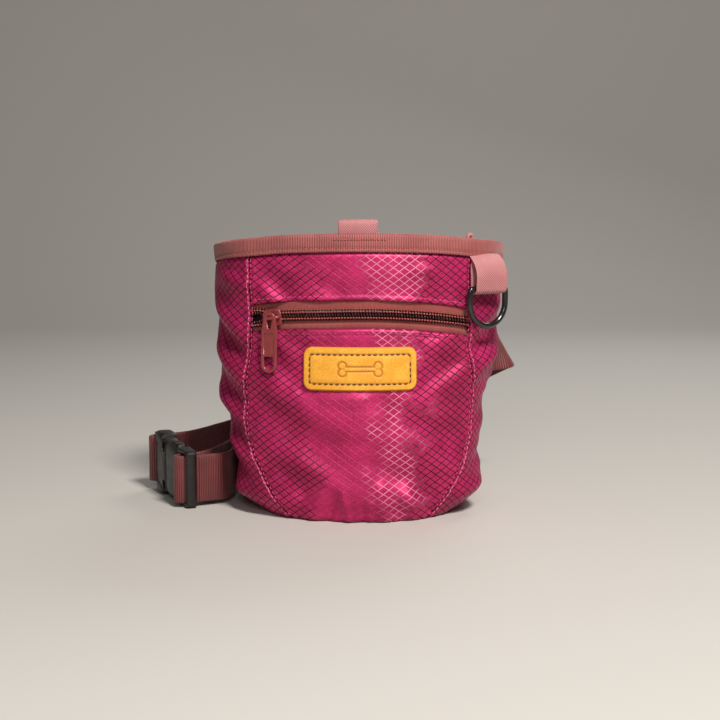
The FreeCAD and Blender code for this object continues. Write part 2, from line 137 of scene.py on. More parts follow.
def outline_point(z, s):
    """Point and outward direction at height z, s millimetres round from the front's centre."""
    sign, s = (-1, -s) if s < 0 else (1, s)
    half, front, back, radius, angle, side, centre, runs = outline_lengths(z)
    if s < runs[0]:
        a = s / radius
        x, y = radius * math.sin(a), radius * (1 - math.cos(a)) - front
    elif s < runs[0] + runs[1]:
        a = angle + (s - runs[0]) / side
        x, y = centre[0] + side * math.sin(a), centre[1] - side * math.cos(a)
    elif s < sum(runs[:3]):
        a = math.pi / 2
        x, y = half, centre[1] + s - runs[0] - runs[1]
    elif s < sum(runs[:4]):
        a = math.pi / 2 + (s - sum(runs[:3])) / BACK_CORNER
        x = half - BACK_CORNER + BACK_CORNER * math.sin(a)
        y = back - BACK_CORNER - BACK_CORNER * math.cos(a)
    else:
        a = math.pi
        x, y = max(half - BACK_CORNER - (s - sum(runs[:4])), 0.0), back
    return Vector((sign * x, y, z)), Vector((sign * math.sin(a), -math.cos(a), 0))


def length_to_x(z, x):
    """How far round the outline at height z its point at x lies, on the front or the side."""
    _, _, _, radius, angle, side, centre, runs = outline_lengths(z)
    if x < radius * math.sin(angle):
        return radius * math.asin(x / radius)
    return runs[0] + side * (math.asin(min((x - centre[0]) / side, 1.0)) - angle)


def half_round(z):
    return sum(outline_lengths(z)[7])


def between(table, z, column=1):
    """A column of a table whose rows start with a height, eased between the rows."""
    for low, high in zip(table, table[1:]):
        if z <= high[0]:
            break
    return mix(low[column], high[column], smooth((z - low[0]) / (high[0] - low[0])))


# The front panel's seam: height, and how far it lies from the middle.
SEAM = ((-2, 32.0), (5, 38.0), (12, 43.0), (22, 49.0), (31, 53.2), (41, 56.0), (52, 57.0), (64, 57.0),
        (76, 56.0), (90, 54.8), (104, 54.5), (120, 55.2), (145, 56.0))


def seam_s(z):
    for low, high in zip(SEAM, SEAM[1:]):
        if z <= high[0]:
            break
    return length_to_x(z, mix(low[1], high[1], (z - low[0]) / (high[0] - low[0])))


def back_seam_s(z):
    return half_round(z) - BACK_SEAM_X


def rim_z(s):
    """Height of the rim's top edge: a plane falling to the back, with its corners a little lower."""
    point, _ = outline_point(136.0, s)
    corner_drop = 0.7 * bell(abs(point.x) - 58.0, 12.0) if point.y < 0 else 0.0
    return RIM_FRONT_Z + 0.3 - RIM_SLOPE * (point.y - FRONT_Y) - corner_drop


def turned(point, angle):
    """A point at the front's centre, turned about the zipper's axis."""
    return zip_centre + Matrix.Rotation(angle, 3, zip_axis) @ (Vector(point) - zip_centre)


def zip_lift(x):
    """The pocket's mouth is sewn a little higher towards its left end."""
    return 1.7 * smooth((-x - 12) / 44.0)


def zip_point(x, depth, rise):
    return turned((0, FRONT_Y + depth, ZIP_Z + rise), math.asin(x / zip_radius)) + UP * zip_lift(x)


def zip_edge_z(s, rise):
    """Height of the zipper opening's edge at s."""
    x = max(min(s, ZIP_END_X), -ZIP_END_X)
    return zip_point(x, 0, rise).z


# ---- how the cloth lies: folds in the unrolled cloth (s and z of two ends, width, height) ---
FOLDS = (
    (-100, 114, -60, 92, 5.5, 2.4), (-98, 101, -60, 80, 4.6, -2.6), (-100, 92, -59, 69, 5.5, 2.9),
    (-98, 76, -60, 57, 4.6, -2.6), (-97, 66, -60, 47, 4.2, 2.2), (-92, 52, -61, 38, 4.6, -2.2),
    (-84, 44, -62, 30, 4.2, 2.4), (-88, 27, -60, 18, 4.2, -1.6), (-86, 12, -56, 8, 4.0, 1.5),
    (-92, 133, -60, 122, 5.0, -1.6), (-84, 124, -58, 116, 4.0, 1.5),
    (98, 112, 60, 98, 5.0, 1.8), (98, 100, 60, 86, 5.0, -2.8), (99, 86, 58, 76, 5.0, 2.6),
    (97, 74, 62, 66, 4.4, -1.6), (94, 50, 64, 44, 5.5, 1.4), (90, 33, 62, 27, 4.4, -2.0),
    (88, 16, 56, 12, 4.2, 1.6), (96, 132, 64, 120, 5.0, -1.4),
    (-56, 128, -30, 108, 5.0, -1.7), (-54, 118, -40, 108, 4.0, 1.5), (-30, 128, -8, 112, 5.0, -0.8),
    (30, 128, 54, 112, 5.0, 0.9), (60, 97, 28, 84, 5.5, 2.0), (60, 85, 30, 70, 5.5, -1.7),
    (60, 74, 34, 60, 6.0, 1.0),
    (-55, 74, -14, 50, 6.5, 1.6), (-55, 60, -8, 34, 6.5, -1.8), (-52, 42, -6, 17, 5.5, 1.9),
    (-48, 28, -16, 8, 4.5, -1.2), (-22, 64, 20, 42, 9.0, 0.9), (12, 60, 52, 38, 6.5, -1.2),
    (18, 42, 52, 26, 6.0, 1.4), (4, 30, 40, 14, 5.5, -1.2), (10, 18, 40, 6, 4.0, 1.2),
    (-56, 90, -34, 74, 5.0, -1.5), (-52, 96, -36, 86, 4.0, 1.2), (-10, 66, 10, 60, 9.0, 0.8),
    (-24, -1, -17, 19, 2.6, 1.3), (-16, -1, -12, 15, 2.2, -1.2), (-5, -1, -8, 15, 2.4, 1.4),
    (2, -1, 1, 13, 2.2, -1.2), (12, -1, 9, 18, 2.4, 1.4), (20, -1, 17, 14, 2.2, -1.2),
    (28, -1, 22, 19, 2.8, 1.4), (-33, -1, -26, 18, 2.8, -1.2), (37, 1, 32, 16, 2.6, -1.2),
    (-44, 128, -12, 122, 4.0, 0.7), (8, 120, 44, 128, 4.0, 0.7),
    (-150, 100, -118, 72, 7.0, 2.0), (-148, 70, -116, 48, 7.0, -2.0), (-146, 42, -118, 20, 7.0, 1.6),
    (150, 104, 118, 78, 7.0, 2.0), (148, 74, 116, 50, 7.0, -2.0), (146, 44, 118, 24, 7.0, 1.6),
)
# Fullness of the left and right sides, and of the front's belly: height, left, right, front.
FULLNESS = ((-5, -1.0, -3.0, 4.5), (0, -1.0, -3.0, 5.5), (8, 0.0, -4.0, 5.5), (17, -1.2, -4.0, 5.2),
            (24, -2.0, -3.8, 5.0), (33, -0.8, -5.2, 4.6), (41, -0.8, -5.6, 4.2), (52, 1.8, -6.0, 3.6),
            (58, 2.4, -5.8, 3.2), (64, 2.4, -4.0, 2.8), (70, 2.0, -1.2, 2.4), (80, 1.2, -1.2, 1.8),
            (91, 0.5, -1.4, 0.9), (115, 0.2, -1.4, 0.0), (138, -1.6, -2.6, 0.0), (160, -2.0, -3.4, 0.0))


def fold_height(s, z):
    total = 0.0
    for s0, z0, s1, z1, width, height in FOLDS:
        run_s, run_z = s1 - s0, z1 - z0
        t = ((s - s0) * run_s + (z - z0) * run_z) / (run_s ** 2 + run_z ** 2)
        near = min(max(t, 0.0), 1.0)
        away = math.hypot(s - s0 - near * run_s, z - z0 - near * run_z)
        if away < 3 * width:
            total += height * bell(away, width) * (0.45 + 0.55 * math.sin(math.pi * near))
    return total


def fullness(s, z):
    """The slow part of the cloth's shape: how far its sides and belly leave the plain outline."""
    side = between(FULLNESS, z, 1 if s < 0 else 2) * bell(abs(s) - 96, 34)
    foot = max(0.0, 1 - z / 16.0) ** 2
    corner = 8.5 * bell(abs(s) - 64, 22) + 2.2
    return side + between(FULLNESS, z, 3) * bell(s, 44) - foot * corner


def seam_relief(away, along):
    """A seam's valley, the ridges beside it and the puckers that the stitches draw."""
    pucker = 0.75 * uneven(along / 3.4, away / 9, 3.0) * bell(away, 5.0)
    return -0.75 * bell(away, 0.7) + 0.35 * bell(away - 2.2, 1.2) + pucker


def cloth_out(s, z):
    """How far the cloth stands out from the plain outline."""
    calm = smooth((rim_z(s) - BINDING_HEIGHT - z) / 10.0)
    flow = 1.1 * uneven(s / 30, z / 26, 0.0) + 0.5 * uneven(s / 10, z / 9, 5.0)
    held = 1 - 0.5 * bell(abs(s) - seam_s(z), 5.0) - 0.7 * bell(abs(s) - 99, 11.0)
    out = (fold_height(s, z) * held * 1.15 + flow) * calm
    hem = bell(z - 2.6, 1.6)
    out += hem * (0.5 + 0.9 * uneven(s / 3.2, 2.0, 0.0))
    out += seam_relief(abs(abs(s) - seam_s(z)), z)
    out += seam_relief(abs(abs(s) - back_seam_s(z)), z)
    out -= 1.1 * bell(rim_z(s) - BINDING_HEIGHT - z, 1.2)
    patch = smooth((33 - abs(s)) / 5) * smooth((15 - abs(z - 77)) / 5)
    return fullness(s, z) + out * (1 - 0.85 * patch) - 0.3 * patch


def cloth_point(z, s, extra=0.0):
    point, normal = outline_point(z, s)
    return point + normal * (cloth_out(s, z) + extra)


# ---- mesh helpers -------------------------------------------------------------------------
def mesh_piece(name, verts, faces, material, uvs=None, thickness=0.0):
    """A smooth mesh from points in millimetres; uvs are millimetres along the cloth."""
    mesh = bpy.data.meshes.new(name)
    mesh.from_pydata([Vector(v) * MM for v in verts], [], faces)
    if uvs:
        layer = mesh.uv_layers.new(name="weave")
        for loop in mesh.loops:
            layer.data[loop.index].uv = uvs[loop.vertex_index]
    mesh.materials.append(material)
    mesh.shade_smooth()
    piece = bpy.data.objects.new(name, mesh)
    bpy.context.collection.objects.link(piece)
    if thickness:
        solid = piece.modifiers.new("thickness", "SOLIDIFY")
        solid.thickness = thickness * MM
        solid.offset = -1.0
    return piece


def grid_faces(rows, cols, wrap=False):
    faces = []
    for i in range(rows - 1):
        for j in range(cols if wrap else cols - 1):
            a, b = i * cols + j, i * cols + (j + 1) % cols
            faces.append((a, b, b + cols, a + cols))
    return faces


def tube_faces(rows, cols):
    """Rings of points joined into a closed body."""
    return grid_faces(rows, cols, wrap=True) + [tuple(reversed(range(cols))),
                                                tuple(range((rows - 1) * cols, rows * cols))]


def grid_piece(name, rows, cols, place, material, thickness=0.0, wrap=False):
    """A sheet: place(i, j) with both from 0 to 1 gives a point and its place on the cloth."""
    verts, uvs = [], []
    for i in range(rows):
        for j in range(cols):
            point, uv = place(i / (rows - 1), j / (cols if wrap else cols - 1))
            verts.append(point)
            uvs.append(uv)
    return mesh_piece(name, verts, grid_faces(rows, cols, wrap), material, uvs, thickness)


def subdivided(piece):
    modifier = piece.modifiers.new("soft", "SUBSURF")
    modifier.levels = modifier.render_levels = 1
    return piece


def curve_mesh(curve):
    """The verts and faces that a curve evaluates to; the curve itself goes."""
    holder = bpy.data.objects.new("curve", curve)
    mesh = bpy.data.meshes.new_from_object(holder)
    data = [v.co.copy() for v in mesh.vertices], [tuple(p.vertices) for p in mesh.polygons]
    bpy.data.objects.remove(holder)
    bpy.data.curves.remove(curve)
    bpy.data.meshes.remove(mesh)
    return data


def tube_data(points, radius, sides=10, closed=False, squeeze=1.0):
    """Verts and faces of a round tube along points, capped unless it is closed."""
    points = [Vector(p) for p in points]
    count = len(points)
    verts = []
    side = None
    for i, point in enumerate(points):
        before = points[i - 1] if i or closed else point
        after = points[(i + 1) % count] if i < count - 1 or closed else point
        along = (after - before).normalized()
        if side is None:
            side = along.orthogonal().normalized()
        side = (side - along * side.dot(along)).normalized()
        other = along.cross(side)
        size = radius[i] if isinstance(radius, (list, tuple)) else radius
        for k in range(sides):
            a = 2 * math.pi * k / sides
            verts.append(point + side * (math.cos(a) * size) + other * (math.sin(a) * size * squeeze))
    if not closed:
        return verts, tube_faces(count, sides)
    last = (count - 1) * sides
    join = [(last + k, last + (k + 1) % sides, (k + 1) % sides, k) for k in range(sides)]
    return verts, grid_faces(count, sides, wrap=True) + join


def gather(parts):
    """Several (verts, faces) as one."""
    verts, faces = [], []
    for more_verts, more_faces in parts:
        start = len(verts)
        verts += more_verts
        faces += [tuple(start + index for index in face) for face in more_faces]
    return verts, faces


def resample(points, pitch):
    """Points at an even pitch along a line, with the direction there."""
    points = [Vector(p) for p in points]
    ends = [0.0]
    for a, b in zip(points, points[1:]):
        ends.append(ends[-1] + (b - a).length)
    count = max(int(ends[-1] / pitch), 1)
    found, k = [], 0
    for i in range(count):
        at = (i + 0.5) * ends[-1] / count
        while ends[k + 1] < at:
            k += 1
        t = (at - ends[k]) / max(ends[k + 1] - ends[k], 1e-9)
        found.append((points[k].lerp(points[k + 1], t), (points[k + 1] - points[k]).normalized()))
    return found


def stitch_data(line, facing, pitch=2.7, length=1.9, radius=0.2):
    """Thread along a line: each stitch is a short arched strand that dips in at its ends."""
    parts = []
    for point, along in resample(line, pitch):
        out = facing(point).normalized()
        strand = []
        for t in (-0.5, -0.4, -0.15, 0.15, 0.4, 0.5):
            rise = radius * (1.0 - (2 * t) ** 4 * 2.2)
            strand.append(point + along * (t * length) + out * rise)
        thick = [radius * 0.5, radius * 0.9, radius, radius, radius * 0.9, radius * 0.5]
        parts.append(tube_data(strand, thick, sides=6))
    return gather(parts)


def outward(point):
    """Direction away from the pouch's middle line, level."""
    return Vector((point.x * 0.55, point.y - 10, 0))


# ---- materials ----------------------------------------------------------------------------
class Shader:
    """A Principled material with a few short ways to add nodes."""

    def __init__(self, name, roughness=0.6, **sockets):
        self.material = bpy.data.materials.new(name)
        self.material.use_nodes = True
        self.tree = self.material.node_tree
        self.bsdf = self.tree.nodes["Principled BSDF"]
        self.bsdf.inputs["Roughness"].default_value = roughness
        for socket, value in sockets.items():
            self.bsdf.inputs[socket.replace("_", " ")].default_value = value

    def add(self, kind, *inputs, **settings):
        node = self.tree.nodes.new(kind)
        for key, value in settings.items():
            setattr(node, key, value)
        for i, value in enumerate(inputs):
            if value is None:
                continue
            if isinstance(value, bpy.types.NodeSocket):
                self.tree.links.new(value, node.inputs[i])
            else:
                node.inputs[i].default_value = value
        return node

    def math(self, operation, a, b=None):
        return self.add("ShaderNodeMath", a, b, operation=operation).outputs[0]

    def weave(self):
        """Millimetres along and across the cloth."""
        uv = self.add("ShaderNodeUVMap", uv_map="weave").outputs[0]
        split = self.add("ShaderNodeSeparateXYZ", uv)
        return uv, split.outputs[0], split.outputs[1]

    def place(self):
        return self.add("ShaderNodeTexCoord").outputs["Object"]

    def noise(self, vector, scale, detail=2.0, roughness=0.5):
        node = self.add("ShaderNodeTexNoise")
        self.tree.links.new(vector, node.inputs["Vector"])
        node.inputs["Scale"].default_value = scale
        node.inputs["Detail"].default_value = detail
        node.inputs["Roughness"].default_value = roughness
        return node.outputs[0]

    def ramp(self, value, low, high, to_low=0.0, to_high=1.0):
        """From low to high in the value becomes to_low to to_high, eased."""
        node = self.add("ShaderNodeMapRange", value, interpolation_type="SMOOTHSTEP")
        ends = {"From Min": low, "From Max": high, "To Min": to_low, "To Max": to_high}
        for socket, number in ends.items():
            node.inputs[socket].default_value = number
        return node.outputs[0]

    def blend(self, amount, a, b):
        node = self.add("ShaderNodeMix", data_type="RGBA")
        for socket, value in zip((node.inputs[0], node.inputs[6], node.inputs[7]), (amount, a, b)):
            if isinstance(value, bpy.types.NodeSocket):
                self.tree.links.new(value, socket)
            else:
                socket.default_value = value if isinstance(value, float) else (*value, 1.0)
        return node.outputs[2]

    def colour(self, socket):
        self.tree.links.new(socket, self.bsdf.inputs["Base Color"])

    def rough(self, socket):
        self.tree.links.new(socket, self.bsdf.inputs["Roughness"])

    def bump(self, height, distance, strength):
        node = self.add("ShaderNodeBump")
        node.inputs["Strength"].default_value = strength
        node.inputs["Distance"].default_value = distance * MM
        self.tree.links.new(height, node.inputs["Height"])
        self.tree.links.new(node.outputs[0], self.bsdf.inputs["Normal"])


def half_wave(shader, value, pitch):
    """A wave from 0 to 1 and back over each pitch."""
    turn = shader.math("MULTIPLY", value, 2 * math.pi / pitch)
    wave = shader.math("SINE", turn)
    return shader.math("MULTIPLY", shader.math("ADD", wave, 1.0), 0.5)


DIAMOND_WIDE, DIAMOND_HIGH = 5.45, 3.85


def ripstop():
    """Satin nylon with a grid of ripstop yarns in diamonds; the yarns are dark, with a painted
    highlight where a band of them shines and painted sheen that pales them near the front's middle.
    """
    m = Shader("ripstop", 0.44, Metallic=0.4, Sheen_Weight=0.03, Sheen_Roughness=0.3,
               Sheen_Tint=(1.0, 0.35, 0.6, 1), Specular_IOR_Level=0.34)
    uv, along, up = m.weave()
    wide, high = m.math("DIVIDE", along, DIAMOND_WIDE), m.math("DIVIDE", up, DIAMOND_HIGH)
    lines = []
    for slant in (m.math("ADD", wide, high), m.math("SUBTRACT", wide, high)):
        off = m.math("ABSOLUTE", m.math("SUBTRACT", m.math("FRACT", slant), 0.5))
        lines.append(m.ramp(off, 0.412, 0.462))
    line = m.math("MAXIMUM", lines[0], lines[1])
    cloud = m.ramp(m.noise(uv, 0.05, 3.0, 0.6), 0.34, 0.68)
    yarn = m.math("MULTIPLY", half_wave(m, along, 0.42), half_wave(m, up, 0.42))
    slub = m.ramp(m.noise(uv, 1.1, 2.0), 0.35, 0.7)
    ground = m.blend(cloud, (0.32, 0.003, 0.060), (0.54, 0.013, 0.120))
    # Painted highlight on the weave: the cloth is painted lighter on the yarn crests, where the bump
    # rises.
    ground = m.blend(m.ramp(yarn, 0, 1, 0.0, 0.22), ground, (0.80, 0.09, 0.26))
    ground = m.blend(m.ramp(slub, 0, 1, 0.0, 0.16), ground, (0.85, 0.12, 0.30))
    # Painted highlight and painted sheen: by their place along the cloth, the grid yarns are painted
    # pale in a band right of the middle, as if shining, and nearly as light as the cloth near the
    # middle, as if washed out by reflections; noise breaks up the bands' edges.
    glint_band_noise = m.noise(uv, 0.06, 2.0)
    place = m.math("ADD", along, m.ramp(glint_band_noise, 0.3, 0.7, -9.0, 9.0))
    painted_glint = m.ramp(m.math("ABSOLUTE", m.math("SUBTRACT", place, 17.0)), 4.0, 15.0, 0.85, 0.0)
    painted_sheen_fade = m.ramp(m.math("ABSOLUTE", m.math("ADD", place, 6.0)), 9.0, 20.0, 1.0, 0.0)
    thread = m.blend(m.math("MULTIPLY", painted_sheen_fade, 0.72), (0.030, 0.001, 0.006), (0.58, 0.035, 0.15))
    thread = m.blend(painted_glint, thread, (0.86, 0.27, 0.42))
    m.colour(m.blend(line, ground, thread))
    m.rough(m.ramp(line, 0, 1, 0.43, 0.6))
    m.bump(m.math("SUBTRACT", m.math("MULTIPLY", yarn, 0.25), line), 0.10, 0.9)
    return m.material


def webbing(name, dark, light, pitch, slant=0.0):
    """Ribbed tape: ribs across its length, finer yarns along it."""
    m = Shader(name, 0.55, Sheen_Weight=0.3, Sheen_Roughness=0.4, Sheen_Tint=(1.0, 0.7, 0.7, 1))
    uv, along, across = m.weave()
    lean = m.math("ADD", along, m.math("MULTIPLY", across, slant))
    rib = half_wave(m, lean, pitch)
    yarn = half_wave(m, across, 0.55)
    fuzz = m.noise(uv, 2.2, 2.0)
    height = m.math("ADD", rib, m.math("MULTIPLY", yarn, 0.35))
    # Painted shade of the weave: the tape is painted darker in the grooves between its ribs and lighter
    # on their crests, with random fuzz on top.
    weave_shade_and_noise = m.math("ADD", m.math("MULTIPLY", rib, 0.62), m.math("MULTIPLY", fuzz, 0.5))
    wide = m.noise(uv, 0.06, 2.0)
    base = m.blend(m.ramp(weave_shade_and_noise, 0.2, 0.95), dark, light)
    m.colour(m.blend(m.ramp(wide, 0.3, 0.7, 0.0, 0.35), base, dark))
    m.bump(height, 0.14, 0.9)
    return m.material


def plain_cloth(name, dark, light):
    """Plain woven nylon for the lining."""
    m = Shader(name, 0.6, Sheen_Weight=0.2)
    uv, along, across = m.weave()
    yarn = m.math("MULTIPLY", half_wave(m, along, 0.5), half_wave(m, across, 0.5))
    # Painted shade of the weave: darker between the yarns and lighter where they cross, with random
    # tone on top.
    weave_shade_and_noise = m.math("ADD", m.math("MULTIPLY", yarn, 0.4), m.noise(uv, 0.08, 3.0))
    m.colour(m.blend(weave_shade_and_noise, dark, light))
    m.bump(yarn, 0.06, 0.8)
    return m.material


def thread(name, dark, light):
    """Twisted sewing thread."""
    m = Shader(name, 0.55, Sheen_Weight=0.08)
    grain = m.noise(m.place(), 2600.0, 1.0)
    m.colour(m.blend(m.ramp(grain, 0.35, 0.65), dark, light))
    m.bump(grain, 0.05, 0.6)
    return m.material


def leather():
    """Dyed leather: fine even grain, darker where it is pressed or rubbed."""
    m = Shader("leather", 0.55, Specular_IOR_Level=0.35)
    place = m.place()
    cell = m.add("ShaderNodeTexVoronoi", feature="SMOOTH_F1")
    m.tree.links.new(place, cell.inputs["Vector"])
    cell.inputs["Scale"].default_value = 1700.0
    grain = m.ramp(cell.outputs[0], 0.05, 0.6)
    fleck = m.noise(place, 1500.0, 3.0, 0.7)
    cloud = m.noise(place, 120.0, 3.0, 0.6)
    base = m.blend(m.ramp(cloud, 0.35, 0.68), (0.80, 0.36, 0.030), (0.88, 0.45, 0.050))
    base = m.blend(m.ramp(fleck, 0.42, 0.62, 0.0, 0.55), base, (0.62, 0.22, 0.014))
    worn = m.add("ShaderNodeAttribute", attribute_name="worn").outputs["Fac"]
    m.colour(m.blend(worn, base, (0.36, 0.11, 0.012)))
    m.rough(m.ramp(cloud, 0.3, 0.7, 0.48, 0.62))
    m.bump(m.math("ADD", m.math("MULTIPLY", grain, 0.6), fleck), 0.07, 0.8)
    return m.material


def moulded(name, base, worn, roughness):
    """Moulded plastic with a fine spark-eroded texture, paler along rubbed places."""
    m = Shader(name, roughness, Specular_IOR_Level=0.5)
    place = m.place()
    fine = m.noise(place, 3800.0, 2.0)
    rub = m.noise(place, 160.0, 3.0, 0.6)
    m.colour(m.blend(m.ramp(rub, 0.45, 0.8, 0.0, 0.6), base, worn))
    m.rough(m.ramp(rub, 0.3, 0.7, roughness - 0.06, roughness + 0.1))
    m.bump(fine, 0.025, 0.6)
    return m.material


def enamel(name, base, chipped, roughness=0.28):
    """Painted metal: smooth thick paint, slightly uneven."""
    m = Shader(name, roughness, Specular_IOR_Level=0.6, Coat_Weight=0.35, Coat_Roughness=0.18)
    place = m.place()
    cloud = m.noise(place, 260.0, 3.0)
    m.colour(m.blend(m.ramp(cloud, 0.4, 0.8, 0.0, 0.5), base, chipped))
    m.bump(m.noise(place, 900.0, 2.0), 0.02, 0.5)
    return m.material


def build_materials():
    return {
        "fabric": ripstop(),
        # The belt is a darker copy of the binding's rose webbing: painted shade, for the belt lying in
        # the pouch's shadow.
        "webbing": webbing("belt_webbing_painted_shade", (0.045, 0.007, 0.008), (0.27, 0.052, 0.050), pitch=0.95),
        "binding": webbing("binding_tape", (0.15, 0.024, 0.024), (0.56, 0.165, 0.150), pitch=0.85),
        "tab": webbing("tab_webbing", (0.33, 0.100, 0.105), (0.66, 0.29, 0.29), pitch=1.2, slant=1.0),
        "tape": webbing("zipper_tape", (0.20, 0.030, 0.028), (0.42, 0.090, 0.075), pitch=0.6),
        "lining": plain_cloth("lining_cloth", (0.030, 0.008, 0.014), (0.085, 0.022, 0.038)),
        "thread": thread("top_thread", (0.42, 0.022, 0.10), (0.70, 0.13, 0.26)),
        "pale_thread": thread("pale_top_thread", (0.50, 0.06, 0.16), (0.80, 0.32, 0.44)),
        "binding_thread": thread("binding_thread", (0.22, 0.030, 0.026), (0.50, 0.110, 0.085)),
        "coil_thread": thread("coil_thread", (0.26, 0.035, 0.028), (0.52, 0.110, 0.085)),
        "dark_thread": thread("patch_thread", (0.050, 0.018, 0.008), (0.13, 0.050, 0.018)),
        # The coil is painted nearly black: painted shade between and under its turns, with only its
        # glossy tips left to catch the light.
        "coil": moulded("coil_nylon_painted_shade", (0.030, 0.005, 0.006), (0.10, 0.022, 0.020), 0.2),
        "enamel": enamel("slider_enamel", (0.22, 0.028, 0.030), (0.30, 0.050, 0.048)),
        "leather": leather(),
        "buckle": moulded("buckle_plastic", (0.011, 0.008, 0.008), (0.028, 0.021, 0.021), 0.42),
        "black": enamel("d_ring_black", (0.008, 0.007, 0.008), (0.02, 0.018, 0.018), 0.2),
        "magnet": enamel("magnet_plating", (0.45, 0.45, 0.46), (0.35, 0.35, 0.36), 0.3),
    }


mats = build_materials()


def dress(piece, body, slot, *nodes):
    """A finished piece: it rides on a body and stands for CAD nodes, which it hides; slot is not used.
    """
    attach(piece, body)
    if nodes:
        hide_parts(*nodes)
    return piece


# ---- pouch cloth --------------------------------------------------------------------------
def front_grid(name, rows, low, high, node):
    """A front panel between two heights that depend on s, with rolled edges at the zipper."""
    def place(i, j):
        t = 2 * j - 1
        x = t * 56.5  # near enough to say how high the opening's edges are
        z = mix(low(x), high(x), i)
        tuck = 0.0
        for rise in (-ZIP_HALF_OPENING, ZIP_HALF_OPENING):
            away = abs(z - zip_edge_z(x, rise))
            tuck += 0.35 * bell(away - 1.6, 1.3) - 1.1 * bell(away, 0.5)
            tuck -= 0.28 * bell(away - 3.0, 0.5)
        s = t * seam_s(z)
        return cloth_point(z, s, tuck), (s, z)
    dress(grid_piece(name, rows, 150, place, mats["fabric"], CLOTH_THICK), "pouch", "fabric", node)


def make_front():
    front_grid("front_lower_cloth", 130, lambda s: CLOTH_FOOT_Z,
               lambda s: zip_edge_z(s, -ZIP_HALF_OPENING), "front_lower_panel")
    front_grid("front_upper_cloth", 48, lambda s: zip_edge_z(s, ZIP_HALF_OPENING),
               lambda s: rim_z(s) - UNDER_RIM, "front_upper_panel")


def make_sides():
    middle = 40.0  # the height whose seams say how the rim's height is spread over the panel
    ends = seam_s(middle), back_seam_s(middle)
    for name, sign in (("left_side", -1), ("right_side", 1)):
        def place(i, j, sign=sign):
            j = j if sign > 0 else 1 - j
            z = mix(CLOTH_FOOT_Z, rim_z(sign * mix(*ends, j)) - UNDER_RIM, i)
            s = sign * mix(seam_s(z), back_seam_s(z), j)
            return cloth_point(z, s), (s, z)
        piece = grid_piece(f"{name}_cloth", 110, 90, place, mats["fabric"], CLOTH_THICK)
        dress(piece, "pouch", "fabric", f"{name}_panel")


def make_back():
    def place(i, j):
        across = mix(-BACK_SEAM_X, BACK_SEAM_X, j)
        z = mix(CLOTH_FOOT_Z, rim_z(half_round(GIRTH_Z)) - UNDER_RIM, i)
        s = half_round(z) - abs(across)
        point, normal = outline_point(z, s)
        point.x = -across
        return point + normal * cloth_out(s if across >= 0 else -s, z), (across + BACK_OF_CLOTH, z)
    piece = grid_piece("back_cloth", 90, 70, place, mats["fabric"], CLOTH_THICK)
    dress(piece, "pouch", "fabric", "back_panel")


def make_base():
    """The base: the outline drawn in to the middle, hollowed a little off the floor."""
    count, rings, edge_z = 160, 16, 0.9
    verts, uvs = [], []
    for i in range(rings):
        share = 1 - i / rings
        rise = 0.9 * smooth((share - 0.93) / 0.07) + 1.1 * smooth((0.85 - share) / 0.6) + 0.35
        for j in range(count):
            s = mix(-half_round(edge_z), half_round(edge_z), j / count)
            point = cloth_point(edge_z, s, 0.3) * share
            verts.append(Vector((point.x, point.y, rise)))
            uvs.append((point.x + BACK_OF_CLOTH, point.y))
    faces = grid_faces(rings, count, wrap=True)
    faces.append(tuple(reversed(range((rings - 1) * count, rings * count))))
    piece = mesh_piece("base_cloth", verts, faces, mats["fabric"], uvs)
    dress(piece, "pouch", "fabric", "base_panel")


def make_lining():
    """The cup inside, and its floor."""
    count, rows, rings, floor_z = 140, 46, 8, 2.4
    verts, uvs = [], []
    for i in range(rings + rows):
        for j in range(count):
            share = mix(-1, 1, j / count)
            z, draw = floor_z, (i + 0.4) / (rings + 0.4)
            if i >= rings:
                top = rim_z(share * half_round(GIRTH_Z)) - UNDER_RIM
                z, draw = mix(floor_z, top, (i - rings) / (rows - 1)), 1.0
            s = share * half_round(z)
            point, normal = outline_point(z, s)
            pocket = 3.4 * smooth((100 - abs(s)) / 50) * smooth((126 - z) / 10)
            ruck = 0.6 * uneven(s / 14, z / 16, 9.0)
            inset = mix(3.4, 2.5, smooth((z - rim_z(s) + 10) / 6))
            inset += pocket + ruck * smooth((118 - z) / 20)
            point = point + normal * (min(fullness(s, z), 0.0) - inset)
            verts.append(Vector((point.x * draw, point.y * draw, z)))
            uvs.append((s, z))
    faces = [tuple(reversed(face)) for face in grid_faces(rings + rows, count, wrap=True)]
    faces.append(tuple(range(count)))
    piece = mesh_piece("lining_cup", verts, faces, mats["lining"], uvs, thickness=0.4)
    dress(piece, "pouch", "lining", "lining")


# ---- rim ----------------------------------------------------------------------------------
BINDING_PROFILE = (  # out from the outline, down from the rim's top
    (0.25, 9.1), (0.8, 9.0), (1.0, 8.6), (1.0, 7.8), (0.7, 7.2), (1.0, 6.6), (1.1, 5.4),
    (1.1, 3.8), (1.1, 2.2), (1.0, 1.2), (0.7, 0.5), (0.1, 0.1), (-0.8, 0.0), (-1.7, 0.1),
    (-2.4, 0.5), (-2.8, 1.2), (-2.9, 2.4), (-2.95, 4.8), (-2.9, 6.6), (-2.6, 7.2), (-2.9, 7.8),
    (-2.8, 8.8), (-2.4, 9.1),
)


def rim_point(s, out, down):
    """A point of the binding, out from the outline and down from the rim's top."""
    point, normal = outline_point(rim_z(s) - down, s)
    out += fullness(s, 138.0)
    wave = 0.22 * uneven(s / 18, 7.0, 0.0) + 0.12 * uneven(s / 6, 8.0, 0.0)
    return point + normal * (out + wave) + UP * (wave * 0.6)


